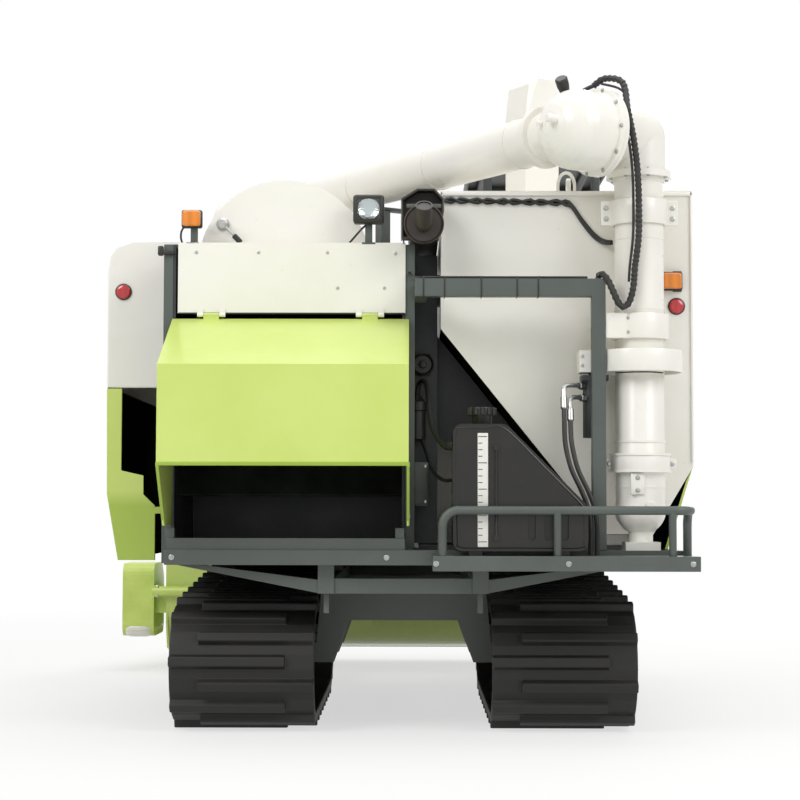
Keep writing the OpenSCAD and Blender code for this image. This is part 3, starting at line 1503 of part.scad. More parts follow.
place() tine_bar_1();
place() tine_bar_2();
place() tine_bar_3();
place() tine_bar_4();
place() tine_bar_5();
place() feather_ring();
place() lift_barrel();
place() lift_rod();
place() reel_barrels();
place() reel_rods();
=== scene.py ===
import math
import bpy
from mathutils import Matrix, Vector


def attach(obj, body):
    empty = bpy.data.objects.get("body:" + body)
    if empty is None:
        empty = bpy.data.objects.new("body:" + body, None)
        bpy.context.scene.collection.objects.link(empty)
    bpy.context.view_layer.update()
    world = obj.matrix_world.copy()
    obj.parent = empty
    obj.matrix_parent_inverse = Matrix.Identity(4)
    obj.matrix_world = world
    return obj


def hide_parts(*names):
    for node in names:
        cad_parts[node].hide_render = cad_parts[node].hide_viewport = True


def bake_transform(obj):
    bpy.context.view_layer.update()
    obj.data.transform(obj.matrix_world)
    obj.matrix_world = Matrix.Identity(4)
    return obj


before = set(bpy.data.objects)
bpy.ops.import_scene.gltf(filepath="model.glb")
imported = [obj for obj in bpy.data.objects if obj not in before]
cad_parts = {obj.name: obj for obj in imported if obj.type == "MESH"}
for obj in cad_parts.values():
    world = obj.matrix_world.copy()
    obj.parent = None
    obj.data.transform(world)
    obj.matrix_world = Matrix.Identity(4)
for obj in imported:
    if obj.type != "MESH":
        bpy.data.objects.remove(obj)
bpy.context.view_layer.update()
bpy.ops.object.select_all(action="DESELECT")

# Camera, floor and light.
# The photograph is taken from 7 m behind the machine at hip height, square to its rear, with a long lens.
# The floor and world are white to the camera, and large soft lamps light the machine.
tilt, roll, pan = (math.radians(angle) for angle in (93.28, -0.11, 0.33))
bpy.ops.object.camera_add(location=(0.21, -9.14, 0.856), rotation=(tilt, roll, pan))
camera = bpy.context.object
camera.data.lens = 84.3
camera.data.clip_end = 200
bpy.context.scene.camera = camera
bpy.context.scene.view_settings.view_transform = "Standard"


def linear(code):
    """An sRGB hex colour in linear light."""
    parts = [int(code[i:i + 2], 16) / 255 for i in (1, 3, 5)]
    return tuple(c / 12.92 if c <= 0.04045 else ((c + 0.055) / 1.055) ** 2.4 for c in parts) + (1.0,)


def add(tree, kind, inputs=None, **settings):
    """One node with its settings; an input is a value or a linked socket."""
    node = tree.nodes.new(kind)
    for key, value in settings.items():
        setattr(node, key, value)
    for key, value in (inputs or {}).items():
        if isinstance(value, bpy.types.NodeSocket):
            tree.links.new(value, node.inputs[key])
        else:
            node.inputs[key].default_value = value
    return node


def soft_lamp(name, place, aim, size, watts):
    """A round lamp at place that shines at aim; places and size are in metres."""
    bpy.ops.object.light_add(type="AREA", location=place)
    lamp = bpy.context.object
    lamp.name = name
    lamp.data.shape = "DISK"
    lamp.data.size = size
    lamp.data.energy = watts
    lamp.rotation_euler = (Vector(aim) - Vector(place)).to_track_quat("-Z", "Y").to_euler()


def blank(name):
    """A new material with its node tree and its shader."""
    mat = bpy.data.materials.new(name)
    mat.use_nodes = True
    return mat, mat.node_tree, mat.node_tree.nodes["Principled BSDF"]


def looked_at(tree):
    """One for a ray that the camera sees, also in a gloss or through glass, else zero."""
    path = add(tree, "ShaderNodeLightPath")
    seen = path.outputs["Is Camera Ray"]
    for kind in ("Is Glossy Ray", "Is Transmission Ray"):
        seen = add(tree, "ShaderNodeMath", {0: seen, 1: path.outputs[kind]}, operation="MAXIMUM").outputs[0]
    return seen


soft_lamp("lamp_rear_left", (-5.5, -8.0, 7.5), (0, -1, 1.1), 5.0, 410)
soft_lamp("lamp_rear_right", (6.0, -7.0, 6.0), (0, -1, 1.1), 5.0, 280)
soft_lamp("lamp_top", (0.5, -0.5, 8.5), (0, 0, 1.0), 7.0, 290)
soft_lamp("lamp_front", (3.5, 8.5, 5.5), (0, 0.5, 1.0), 5.0, 330)
world = bpy.context.scene.world or bpy.data.worlds.new("studio")
bpy.context.scene.world = world
world.use_nodes = True
tree = world.node_tree
back = tree.nodes["Background"]
room_light = 0.4
level = add(tree, "ShaderNodeMapRange", {"Value": looked_at(tree), "To Min": room_light, "To Max": 1.0})
tree.links.new(level.outputs[0], back.inputs["Strength"])
back.inputs["Color"].default_value = (1, 1, 1, 1)
bpy.ops.mesh.primitive_plane_add(size=90, location=(0, 0, -0.002))
floor = bpy.context.object
floor.name = "studio_floor"
pale, tree, paint = blank("pale_floor")
paint.inputs["Base Color"].default_value = linear("#EFEFED")
paint.inputs["Roughness"].default_value = 0.9
away = add(tree, "ShaderNodeVectorMath", {0: add(tree, "ShaderNodeTexCoord").outputs["Object"]}, operation="LENGTH")
near_m, far_m, near_white = 1.5, 7.0, 0.62
fade = add(tree, "ShaderNodeMapRange", {"Value": away.outputs["Value"], "From Min": near_m, "From Max": far_m,
                                        "To Min": near_white, "To Max": 1.0})
share = add(tree, "ShaderNodeMath", {0: fade.outputs[0], 1: looked_at(tree)}, operation="MULTIPLY")
white = add(tree, "ShaderNodeEmission", {"Color": (1, 1, 1, 1), "Strength": 1.0})
blend = add(tree, "ShaderNodeMixShader", {0: share.outputs[0], 1: paint.outputs[0], 2: white.outputs[0]})
tree.links.new(blend.outputs[0], tree.nodes["Material Output"].inputs["Surface"])
floor.data.materials.append(pale)

# Rubber tracks.
# Endless bands of black carbon rubber, moulded in one piece with staggered lugs round steel cores.
# New rubber is a very dark grey-brown with faint clouds of dust, drawn darker still as painted shade; sprockets and
# idlers hold the bands taut.


def moulded(name, dark, pale, grain_mm, rough, depth):
    """A moulded, cast or rolled skin, clouded from dark to pale.

    The grain of grain_mm is coarser than the real one, which is too fine to show."""
    mat, tree, shader = blank(name)
    place = add(tree, "ShaderNodeTexCoord").outputs["Object"]
    cloud = add(tree, "ShaderNodeTexNoise", {"Vector": place, "Scale": 7.0, "Detail": 6.0, "Roughness": 0.65})
    tone = add(tree, "ShaderNodeValToRGB", {"Fac": cloud.outputs["Fac"]})
    tone.color_ramp.elements[0].position = 0.36
    tone.color_ramp.elements[0].color = linear(dark)
    tone.color_ramp.elements[1].position = 0.72
    tone.color_ramp.elements[1].color = linear(pale)
    tree.links.new(tone.outputs["Color"], shader.inputs["Base Color"])
    sheen = add(tree, "ShaderNodeMapRange",
                {"Value": cloud.outputs["Fac"], "To Min": rough - 0.1, "To Max": rough + 0.1})
    tree.links.new(sheen.outputs[0], shader.inputs["Roughness"])
    grain = add(tree, "ShaderNodeTexNoise", {"Vector": place, "Scale": 1000 / grain_mm, "Detail": 3.0})
    bump = add(tree, "ShaderNodeBump", {"Height": grain.outputs["Fac"], "Strength": depth, "Distance": 0.001})
    tree.links.new(bump.outputs["Normal"], shader.inputs["Normal"])
    return mat


crease = math.radians(35)


def wear(material, *names, edge_mm=0):
    """Give nodes of the frame a material, and round their creased edges by edge_mm."""
    for name in names:
        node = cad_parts[name]
        node.material_slots[0].material = material
        if edge_mm:
            weld = node.modifiers.new("weld", "WELD")
            weld.merge_threshold = 0.0001
            bevel = node.modifiers.new("edge", "BEVEL")
            bevel.width = edge_mm / 1000
            bevel.segments = 2
            bevel.limit_method = "ANGLE"
            bevel.angle_limit = crease


# Painted shade: both rubber colours are darker than the rubber itself, standing in for the shadow under the machine.
shaded_track_rubber = moulded("carbon_rubber_darkened_as_shade", "#0E0D0C", "#1B1916", 9, 0.6, 0.5)
wear(shaded_track_rubber, "track_left", "track_right", edge_mm=5)

# Running gear: idlers, rollers and sprockets on their axles, with the gearbox, the swing motor and the engine.
# Grey cast iron in one coat of dark paint; the cast skin keeps a coarse sand grain under it.
cast_paint = moulded("painted_cast_iron", "#34393A", "#4B5152", 7, 0.55, 0.45)
wear(cast_paint, "track_wheels", "drive_sprockets", "gearbox", "swing_motor", edge_mm=3)
engine_iron = moulded("engine_iron", "#3A3E3C", "#565B58", 8, 0.6, 0.5)
wear(engine_iron, "engine", edge_mm=4)

# Chassis and base frame, with the platform, rails and struts that are bolted to them.
# Welded square tube and plate in dark grey baked enamel, a satin coat with a faint orange peel.
# The lower parts carry a thin film of dust.


def enamel(name, paint, shade, rough, coat=0.0, below=None, shade_facing=None):
    """Baked enamel, clouded from paint to shade, dusty near the ground.

    The second colour, with the height in mm under which it shows, is painted shade on a panel's lower part; faces
    that look along the given direction are painted near black without gloss, as painted shade.
    The orange peel is drawn about 9 mm long, because the real one is too fine to show."""
    mat, tree, shader = blank(name)
    place = add(tree, "ShaderNodeTexCoord").outputs["Object"]
    cloud = add(tree, "ShaderNodeTexNoise", {"Vector": place, "Scale": 1.7, "Detail": 5.0, "Roughness": 0.6})
    tone = add(tree, "ShaderNodeValToRGB", {"Fac": cloud.outputs["Fac"]})
    tone.color_ramp.elements[0].position = 0.3
    tone.color_ramp.elements[0].color = linear(shade)
    tone.color_ramp.elements[1].position = 0.6
    tone.color_ramp.elements[1].color = linear(paint)
    colour = tone.outputs["Color"]
    height = add(tree, "ShaderNodeSeparateXYZ", {"Vector": place}).outputs["Z"]
    mix_a, mix_b, mixed = 6, 7, 2  # the colour sockets of a Mix node
    # Painted shade: a darker colour below the given height.
    if below:
        edge_m, blur_m = below[1] / 1000, 0.03
        step = add(tree, "ShaderNodeMapRange",
                   {"Value": height, "From Min": edge_m + blur_m, "From Max": edge_m - blur_m})
        colour = add(tree, "ShaderNodeMix", {0: step.outputs[0], mix_a: colour, mix_b: linear(below[0])},
                     data_type="RGBA").outputs[mixed]
    # Painted shade: faces that look along the given direction turn near black and lose their gloss and coat.
    if shade_facing:
        normal = add(tree, "ShaderNodeNewGeometry").outputs["True Normal"]
        facing = add(tree, "ShaderNodeVectorMath", {0: normal, 1: shade_facing}, operation="DOT_PRODUCT").outputs["Value"]
        shaded_face = add(tree, "ShaderNodeMapRange", {"Value": facing, "From Min": 0.35, "From Max": 0.45}).outputs[0]
        colour = add(tree, "ShaderNodeMix", {0: shaded_face, mix_a: colour, mix_b: linear("#1A1917")},
                     data_type="RGBA").outputs[mixed]
        for socket, level in (("Specular IOR Level", 0.5), ("Coat Weight", coat)):
            dull = add(tree, "ShaderNodeMapRange", {"Value": shaded_face, "To Min": level, "To Max": 0.0})
            tree.links.new(dull.outputs[0], shader.inputs[socket])
    clean_m, ground_m, dust = 0.75, 0.1, 0.25
    low = add(tree, "ShaderNodeMapRange",
              {"Value": height, "From Min": clean_m, "From Max": ground_m, "To Max": dust})
    speck = add(tree, "ShaderNodeTexNoise", {"Vector": place, "Scale": 24.0, "Detail": 4.0})
    film = add(tree, "ShaderNodeMath", {0: low.outputs[0], 1: speck.outputs["Fac"]}, operation="MULTIPLY")
    dusty = add(tree, "ShaderNodeMix", {0: film.outputs[0], mix_a: colour, mix_b: linear("#8E877A")},
                data_type="RGBA")
    tree.links.new(dusty.outputs[mixed], shader.inputs["Base Color"])
    gloss = add(tree, "ShaderNodeMapRange",
                {"Value": speck.outputs["Fac"], "To Min": rough - 0.06, "To Max": rough + 0.06})
    tree.links.new(gloss.outputs[0], shader.inputs["Roughness"])
    peel = add(tree, "ShaderNodeTexNoise", {"Vector": place, "Scale": 110.0, "Detail": 1.0})
    bump = add(tree, "ShaderNodeBump", {"Height": peel.outputs["Fac"], "Strength": 0.06, "Distance": 0.001})
    tree.links.new(bump.outputs["Normal"], shader.inputs["Normal"])
    shader.inputs["Coat Weight"].default_value = coat
    shader.inputs["Coat Roughness"].default_value = 0.12
    return mat


frame_grey = enamel("dark_grey_enamel", "#545B57", "#484E4A", 0.42)
wear(frame_grey, "chassis_frame", "body_frame", "track_frames", "unloader_support", "rear_platform", "guard_rail",
     "boom_cradle", "station_floor", "reel_arms", "lift_barrel", "reel_barrels", edge_mm=3)


def spot(x, y, z):
    """Millimetres from the tracks' rear middle, as the part is drawn, to the shared frame in metres."""
    middle_x, middle_y = -182, 2040
    return Vector(((x - middle_x) / 1000, (y - middle_y) / 1000, z / 1000))


def block(name, low, high, round_mm=3, steps=2):
    """A box between two corners, with its edges rounded."""
    bpy.ops.object.select_all(action="DESELECT")
    a, b = spot(*low), spot(*high)
    bpy.ops.mesh.primitive_cube_add(size=1, location=(a + b) / 2)
    piece = bpy.context.object
    piece.name = name
    piece.scale = b - a
    bpy.ops.object.transform_apply(location=True, rotation=True, scale=True)
    bpy.ops.object.mode_set(mode="EDIT")
    bpy.ops.mesh.select_all(action="SELECT")
    bpy.ops.mesh.bevel(offset=round_mm / 1000, segments=steps, affect="EDGES")
    bpy.ops.object.mode_set(mode="OBJECT")
    return piece


def turned(name, base, axis, steps_mm, sides=40):
    """A turned piece: a disc at base is extruded along axis, each step to [distance, radius]."""
    at, r = steps_mm[0]
    bpy.ops.object.select_all(action="DESELECT")
    bpy.ops.mesh.primitive_circle_add(vertices=sides, radius=r / 1000, fill_type="NGON", location=(0, 0, 0))
    piece = bpy.context.object
    piece.name = name
    bpy.ops.object.mode_set(mode="EDIT")
    bpy.ops.mesh.select_all(action="SELECT")
    bpy.ops.mesh.flip_normals()
    bpy.ops.mesh.extrude_region_move()
    for i, (d, q) in enumerate(steps_mm[1:]):
        if i:
            bpy.ops.mesh.extrude_region_move()
        bpy.ops.transform.translate(value=(0, 0, (d - at) / 1000))
        if q != r:
            bpy.ops.transform.resize(value=(q / r, q / r, 1), center_override=(0, 0, d / 1000))
        at, r = d, q
    bpy.ops.mesh.select_all(action="SELECT")
    bpy.ops.mesh.normals_make_consistent(inside=False)
    bpy.ops.object.mode_set(mode="OBJECT")
    turn = Vector((0, 0, 1)).rotation_difference(Vector(axis)).to_matrix().to_4x4()
    piece.data.transform(Matrix.Translation(spot(*base)) @ turn)
    return piece


def joined(name, pieces):
    """One piece made of several."""
    bpy.ops.object.select_all(action="DESELECT")
    for piece in pieces:
        piece.select_set(True)
    bpy.context.view_layer.objects.active = pieces[0]
    bpy.ops.object.join()
    pieces[0].name = name
    return pieces[0]


def fitted(piece, body, material):
    """Smooth a piece, give it its material, and let it ride on its body."""
    bpy.ops.object.select_all(action="DESELECT")
    piece.select_set(True)
    bpy.context.view_layer.objects.active = piece
    bpy.ops.object.shade_smooth_by_angle(angle=crease)
    piece.data.materials.clear()
    piece.data.materials.append(material)
    if body:
        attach(piece, body)
    return piece


# Bolts and washers of the whole machine.
# Zinc-plated steel, bright with a slight yellow cast, screwed in where sheets and frames meet.
zinc, tree, shader = blank("zinc_plated_steel")
place = add(tree, "ShaderNodeTexCoord").outputs["Object"]
stain = add(tree, "ShaderNodeTexNoise", {"Vector": place, "Scale": 60.0, "Detail": 3.0})
tone = add(tree, "ShaderNodeValToRGB", {"Fac": stain.outputs["Fac"]})
tone.color_ramp.elements[0].color = linear("#8E9092")
tone.color_ramp.elements[1].color = linear("#CFCFC8")
tree.links.new(tone.outputs["Color"], shader.inputs["Base Color"])
shader.inputs["Metallic"].default_value = 1.0
shader.inputs["Roughness"].default_value = 0.34
rearward, upward, leftward = (0, -1, 0), (0, 0, 1), (-1, 0, 0)


def bolts(name, axis, size_mm, places, body="machine", material=zinc):
    """Six-sided heads on round washers at places; size_mm is about half a head's width."""
    r = size_mm
    washer = [[0, 1.15 * r], [0.22 * r, 1.15 * r], [0.28 * r, 1.05 * r]]
    head = [[0.2 * r, 0.9 * r], [0.7 * r, 0.9 * r], [0.85 * r, 0.75 * r]]
    heads = []
    for p in places:
        heads += [turned("washer", p, axis, washer, 16), turned("head", p, axis, head, 6)]
    return fitted(joined(name, heads), body, material)


bolts("frame_bolts", rearward, 9, [(x, -120, 669) for x in (-862, -62)] + [(x, -300, 652) for x in (120, 600, 1050)])

# Threshing body and its drum cover.
# The body is dark steel sheet, polished to a dull sheen inside by straw; the round lid is cream enamel.
# Rolled beads stiffen the lid, and a sprung lever holds it down.
body_steel = moulded("dark_body_sheet", "#1E2020", "#34383A", 14, 0.45, 0.15)
wear(body_steel, "thresher_body", edge_mm=2)
cream_paint = ("#F3F1EA", "#ECE9DF", 0.3, 0.25)
cream = enamel("cream_enamel", *cream_paint)
wear(cream, "drum_cover", "rear_panel", "tank_roof", "elevator_head", "unloader_base", "ring_guard", edge_mm=3)
wear(cream, "left_upper_cover", "engine_housing", edge_mm=6)
wear(cream, "unloader_column", "unloader_boom")
lid_x, lid_z = -466, 1795
lid_r_m, lid_rim_m = 0.336, 1.869
lid_beads = []
for y in (600, 1080, 1560):
    bpy.ops.mesh.primitive_torus_add(major_segments=96, minor_segments=10, major_radius=lid_r_m, minor_radius=0.007,
                                     location=spot(lid_x, y, lid_z), rotation=(math.radians(90), 0, 0))
    bpy.ops.object.transform_apply(location=True, rotation=True, scale=True)
    lid_beads.append(bpy.context.object)
    bpy.ops.object.mode_set(mode="EDIT")
    bpy.ops.mesh.select_all(action="SELECT")
    bpy.ops.mesh.bisect(plane_co=(0, 0, lid_rim_m), plane_no=upward, clear_inner=True, use_fill=True)
    bpy.ops.object.mode_set(mode="OBJECT")
fitted(joined("drum_cover_beads", lid_beads), "machine", cream)
lever_way = (0.7, -0.05, -0.72)
lever = [turned("lever_boss", (-706, 150, 1955), rearward, [[0, 26], [10, 26], [16, 20], [34, 20], [38, 15]]),
         turned("lever_rod", (-706, 122, 1955), lever_way, [[0, 5], [108, 5], [110, 3]], 14)]
fitted(joined("drum_lever", lever), "machine", zinc)
grip_plastic = moulded("black_moulded_plastic", "#1C1B19", "#2A2926", 5, 0.42, 0.18)
grip = turned("drum_lever_grip", (-661, 119, 1909), lever_way, [[0, 8], [3, 11], [36, 11], [40, 8]], 20)
fitted(grip, "machine", grip_plastic)

# Straw hood: one folded lime sheet with two cheeks, hinged at its top edge.
# Baked lime enamel with a clear sheen; the folded lip and the edges of the cheeks are the same lime, painted a deeper
# green as painted shade.
# Press studs hold the cheeks to the struts.
lime_paint = ("#CFE07A", "#C6DA6C", 0.32, 0.3)
lime = enamel("lime_enamel", *lime_paint)
wear(lime, "straw_hood", "feeder_house", "header_platform", "reel", "feather_ring", edge_mm=4)
shaded_lime = enamel("shaded_lime_enamel", "#9DB93C", "#93AF38", 0.36, 0.2)
fitted(block("hood_lip", (-890, -361, 1005), (20, -350, 1020), 3), "straw_hood", shaded_lime)


def pick_faces(piece, test):
    """Open a piece for editing with those faces picked whose normal passes the test."""
    bpy.ops.object.mode_set(mode="EDIT")
    bpy.ops.mesh.select_all(action="DESELECT")
    bpy.ops.object.mode_set(mode="OBJECT")
    for face in piece.data.polygons:
        face.select = test(face.normal)
    bpy.ops.object.mode_set(mode="EDIT")
    bpy.ops.mesh.select_mode(type="FACE")


# The cheeks' edges, in the lime painted deeper as painted shade.
for side, x in (("left", -892), ("right", 12)):
    edge = block("hood_%s_edge" % side, (x, -360, 1000), (x + 12, -352, 1019), 2)
    pick_faces(edge, lambda normal: normal.z < -0.9)
    bpy.ops.mesh.extrude_region_move()
    bpy.ops.transform.translate(value=(0, 0.19, -0.212))
    bpy.ops.object.mode_set(mode="OBJECT")
    fitted(edge, "straw_hood", shaded_lime)
bolts("hood_studs", leftward, 9, [(-890, -40, 822), (-890, 20, 822)], "straw_hood")
bolts("hood_studs_right", (1, 0, 0), 9, [(20, -40, 822), (20, 20, 822)], "straw_hood")

# Rear panel of the thresher: cream sheet with a black rubber seal along its lower edge.
# Zinc screws hold it to the thresher's wall, and a black moulded hook sits at its left end.
bolts("panel_screws", rearward, 6, [(-294, 72, 1836), (-33, 72, 1832), (-255, 72, 1698), (-75, 72, 1698),
                                    (-800, 72, 1836), (-560, 72, 1836)])
fitted(block("panel_seal", (-868, 70, 1597), (4, 79, 1603), 1.5), "machine", grip_plastic)
hook = joined("panel_hook", [block("hook_arm", (-940, 62, 1826), (-884, 78, 1842), 4),
                             block("hook_tip", (-948, 58, 1822), (-926, 82, 1860), 6)])
fitted(hook, "machine", grip_plastic)

# Side covers: pressed panels with a folded rim, hung on the base frame, with locks and a handle on the left.
# The lower lime panels are one lime, painted darker below 890 mm as painted shade, lighter on the upper half that
# faces the sky; their inward faces are painted near black as painted shade.
# A rubber strip closes the joint between the two on the left.
for side, inward in (("left", (1, 0, 0)), ("right", leftward)):
    shaded_cover_lime = enamel(side + "_lime_enamel", *lime_paint, below=("#A9C24A", 890), shade_facing=inward)
    wear(shaded_cover_lime, side + "_lower_cover", edge_mm=4)


def subdivide(cuts):
    """Cut the faces of the active piece finer."""
    bpy.ops.object.mode_set(mode="EDIT")
    bpy.ops.mesh.select_all(action="SELECT")
    bpy.ops.mesh.subdivide(number_cuts=cuts)
    bpy.ops.object.mode_set(mode="OBJECT")


handle = block("cover_handle", (-1186, 1080, 1420), (-1178, 1220, 1460), 3)
subdivide(1)
fitted(handle, "machine", grip_plastic)
bolts("cover_locks", leftward, 14, [(-1184, 420, 1380), (-1184, 1880, 1380), (-1180, 420, 1250), (-1180, 1880, 1250)],
      material=grip_plastic)
split = block("cover_split_seal", (-1183, 352, 1327.5), (-1168, 1948, 1329.5), 0.6)
fitted(split, "machine", grip_plastic)

# Belt drive beside the thresher: V-belts on cast pulleys, whose shafts run in the thresher's wall.
# Belts are fabric-wrapped rubber, matt and slightly brown; the pulleys' webs are painted cast iron.
belt_rubber = moulded("belt_rubber", "#191817", "#2B2825", 5, 0.7, 0.3)
wear(belt_rubber, "side_drive", edge_mm=2)
caps = []
for y, z, r in ((520, 1010, 62), (1250, 900, 96), (1700, 1180, 76)):
    web = [[0, r], [6, r], [9, r - 8], [2, r - 12], [2, 34], [20, 30], [22, 26]]
    caps.append(turned("pulley_web", (-983, y, z), leftward, web))
fitted(joined("pulley_webs", caps), "machine", cast_paint)

# Grain tank: welded cream sheet on the base frame, with pressed swages on its side and seams folded outwards.
# The hopper's underside is painted near black, as painted shade.
# A plain dark sheet on the elevator leg closes the space below the hopper; it stands in for the shade there, as
# painted shade.
wear(enamel("tank_cream_with_painted_shade", *cream_paint, shade_facing=(0, 0, -1)), "grain_tank", edge_mm=3)
swages = [block("swage", (1113, 190, z), (1121, 1380, z + 26), 4, 3) for z in (1240, 1480, 1720, 1960)]
fitted(joined("tank_swages", swages), "machine", cream)
seams = [block("seam_left", (142, 112, 1560), (150, 121, 2078), 2),
         block("seam_right", (1108, 112, 1030), (1116, 121, 2078), 2),
         block("seam_top", (142, 112, 2064), (1116, 121, 2078), 2)]
fitted(joined("tank_seams", seams), "machine", cream)


def thicken(move):
    """Push the flat active piece along move, in metres, into a closed plate."""
    bpy.ops.object.mode_set(mode="EDIT")
    bpy.ops.mesh.select_all(action="SELECT")
    bpy.ops.mesh.extrude_region_move()
    bpy.ops.transform.translate(value=move)
    bpy.ops.mesh.select_all(action="SELECT")
    bpy.ops.mesh.normals_make_consistent(inside=False)
    bpy.ops.object.mode_set(mode="OBJECT")


# Painted shade: a dark sheet where the space below the hopper lies in shade.
bpy.ops.mesh.primitive_circle_add(vertices=3, radius=0.1, fill_type="NGON", location=(0, 0, 0))
shade_sheet = bpy.context.object
shade_sheet.name = "hopper_shade_sheet"
for v, corner in zip(shade_sheet.data.vertices, ((132, 421, 1546), (62, 421, 1118), (476, 421, 1118))):
    v.co = spot(*corner)
thicken((0, 0.004, 0))
fitted(shade_sheet, "machine", body_steel)

# Exhaust: rolled muffler with a rimmed end, an open tail pipe and a folded cowl on a strap and a stay.
# Bare mild steel, browned by heat in clouds; the cowl is zinc-coated sheet, grey with a green cast.
burnt = moulded("heat_browned_steel", "#1C1917", "#40372F", 18, 0.5, 0.25)
wear(burnt, "exhaust")
cowl_back, cowl_front = -16, 62
outline = [(-10, 1878), (-10, 2031), (51, 2070), (116, 2070), (152, 2031), (152, 1984), (132, 1878)]
folds = []
for a, b in zip(outline, outline[1:]):
    bpy.ops.mesh.primitive_plane_add(size=1, location=(0, 0, 0))
    fold = bpy.context.object
    across = spot(b[0], 0, b[1]) - spot(a[0], 0, a[1])
    deep = Vector((0, (cowl_front - cowl_back) / 1000, 0))
    middle = (spot(a[0], cowl_back, a[1]) + spot(b[0], cowl_front, b[1])) / 2
    fold.data.transform(Matrix((across, deep, across.cross(deep).normalized())).transposed().to_4x4())
    fold.data.transform(Matrix.Translation(middle))
    folds.append(fold)
shield = joined("muffler_cowl", folds)
bpy.ops.object.mode_set(mode="EDIT")
bpy.ops.mesh.select_all(action="SELECT")
bpy.ops.mesh.remove_doubles(threshold=0.002)
bpy.ops.mesh.normals_make_consistent(inside=False)
bpy.ops.object.mode_set(mode="OBJECT")
thick = shield.modifiers.new("sheet", "SOLIDIFY")
thick.thickness = 0.003
thick.offset = 0
bpy.ops.object.modifier_apply(modifier="sheet")
shield_steel = moulded("zinc_coated_sheet", "#5C635C", "#848A80", 20, 0.42, 0.12)
fitted(shield, "machine", shield_steel)
tip = turned("muffler_end", (76, -38, 1930), rearward, [[0, 70], [0.5, 77], [9, 77], [12, 73], [5, 66], [3, 34]])
fitted(tip, "machine", burnt)
mouth = turned("tail_lip", (76, -133, 1983), (0, -0.673, 0.74),
               [[0, 30], [0.5, 33], [3, 33], [4, 30], [4, 27], [-6, 26]], 32)
fitted(mouth, "machine", burnt)
stays = [block("cowl_stay_left", (-4, 20, 1866), (2, 50, 1884), 2),
         block("cowl_strap", (10, -12, 1996), (142, -6, 2012), 2)]
fitted(joined("cowl_stays", stays), "machine", frame_grey)

# Gap between thresher and tank: control box, tension pulley, oil strainer and lines.
# Black rubber lines, black moulded plastic and a grey enamelled box with a screwed lid.
# All are fixed to the thresher's wall and to the elevator leg.
fitted(block("control_box", (7, 120, 862), (96, 300, 1030), 5, 3), "machine", frame_grey)
lid = joined("control_box_lid", [block("lid", (12, 113, 868), (91, 121, 1024), 4),
                                 block("rim", (7, 119, 990), (98, 302, 998), 2)])
fitted(lid, "machine", frame_grey)
bolts("box_screws", rearward, 5, [(20, 113, 878), (84, 113, 878), (20, 113, 1014), (84, 113, 1014)])
groove = [[0, 40], [3, 43], [9, 43], [15, 36], [21, 43], [27, 43], [30, 40], [24, 34], [24, 16], [38, 14], [40, 9]]
wheel = joined("tension_pulley", [turned("rim", (74, 294, 1419), rearward, groove),
                                  turned("axle", (74, 302, 1419), rearward, [[0, 14], [44, 14], [46, 10]], 16)])
fitted(wheel, "machine", grip_plastic)
fitted(block("pulley_arm", (44, 292, 1376), (104, 301, 1462), 6, 3), "machine", cast_paint)
bottle = [[0, 30], [4, 34], [112, 34], [116, 40], [150, 40], [156, 30], [176, 14], [180, 12]]
strainer = turned("oil_strainer", (52, 262, 1120), upward, bottle)
fitted(strainer, "machine", grip_plastic)
fitted(block("strainer_arm", (36, 262, 1238), (68, 301, 1262), 4), "machine", frame_grey)


def tube(name, points, r_mm, sides=10, ripple=0.0, step_mm=14):
    """A smooth tube through points; ripple makes every second ring smaller, as on corrugated conduit."""
    p = [spot(*q) for q in points]
    line = []
    for i in range(len(p) - 1):
        a, b, c, d = p[max(i - 1, 0)], p[i], p[i + 1], p[min(i + 2, len(p) - 1)]
        n = max(2, int((c - b).length * 1000 / step_mm))
        for k in range(n):
            t = k / n
            line.append(0.5 * (2 * b + (c - a) * t + (2 * a - 5 * b + 4 * c - d) * t * t
                               + (3 * b - a - 3 * c + d) * t ** 3))
    line.append(p[-1])
    data = bpy.data.curves.new(name, "CURVE")
    data.dimensions = "3D"
    data.bevel_depth = r_mm / 1000
    data.bevel_resolution = max(1, sides // 4 - 1)
    data.use_fill_caps = True
    strand = data.splines.new("POLY")
    strand.points.add(len(line) - 1)
    for k, q in enumerate(line):
        strand.points[k].co = (*q, 1)
        strand.points[k].radius = 1 - (ripple if k % 2 else 0)
    piece = bpy.data.objects.new(name, data)
    bpy.context.scene.collection.objects.link(piece)
    bpy.ops.object.select_all(action="DESELECT")
    piece.select_set(True)
    bpy.context.view_layer.objects.active = piece
    bpy.ops.object.convert(target="MESH")
    return bpy.context.object


line_rubber = moulded("line_rubber", "#171615", "#262422", 4, 0.5, 0.2)
for name, r, points in (
        ("fuel_line", 9, [(196, -60, 1075), (150, -20, 1090), (104, 70, 1180), (88, 180, 1330), (62, 250, 1346),
                          (52, 272, 1298)]),
        ("return_line", 7, [(190, -50, 960), (150, 0, 960), (110, 100, 1000), (84, 210, 1080), (60, 272, 1150)])):
    line = tube(name, points, r)
    fitted(line, "machine", line_rubber)
lines = [tube("pulley_cable", [(30, 298, 1400), (24, 286, 1330), (20, 220, 1250), (16, 170, 1100),
                               (16, 150, 1030)], 6),
         tube("beam_cable", [(18, 104, 1770), (30, 40, 1740), (60, -60, 1722), (130, -100, 1719), (400, -96, 1719),
                             (690, -96, 1719)], 6)]
fitted(joined("engine_lines", lines), "machine", line_rubber)
ties = [block("tie", (x, -123, 1643), (x + 5, -65, 1722), 1.5) for x in (72, 151, 289, 423, 502)]
fitted(joined("cable_ties", ties), "machine", grip_plastic)

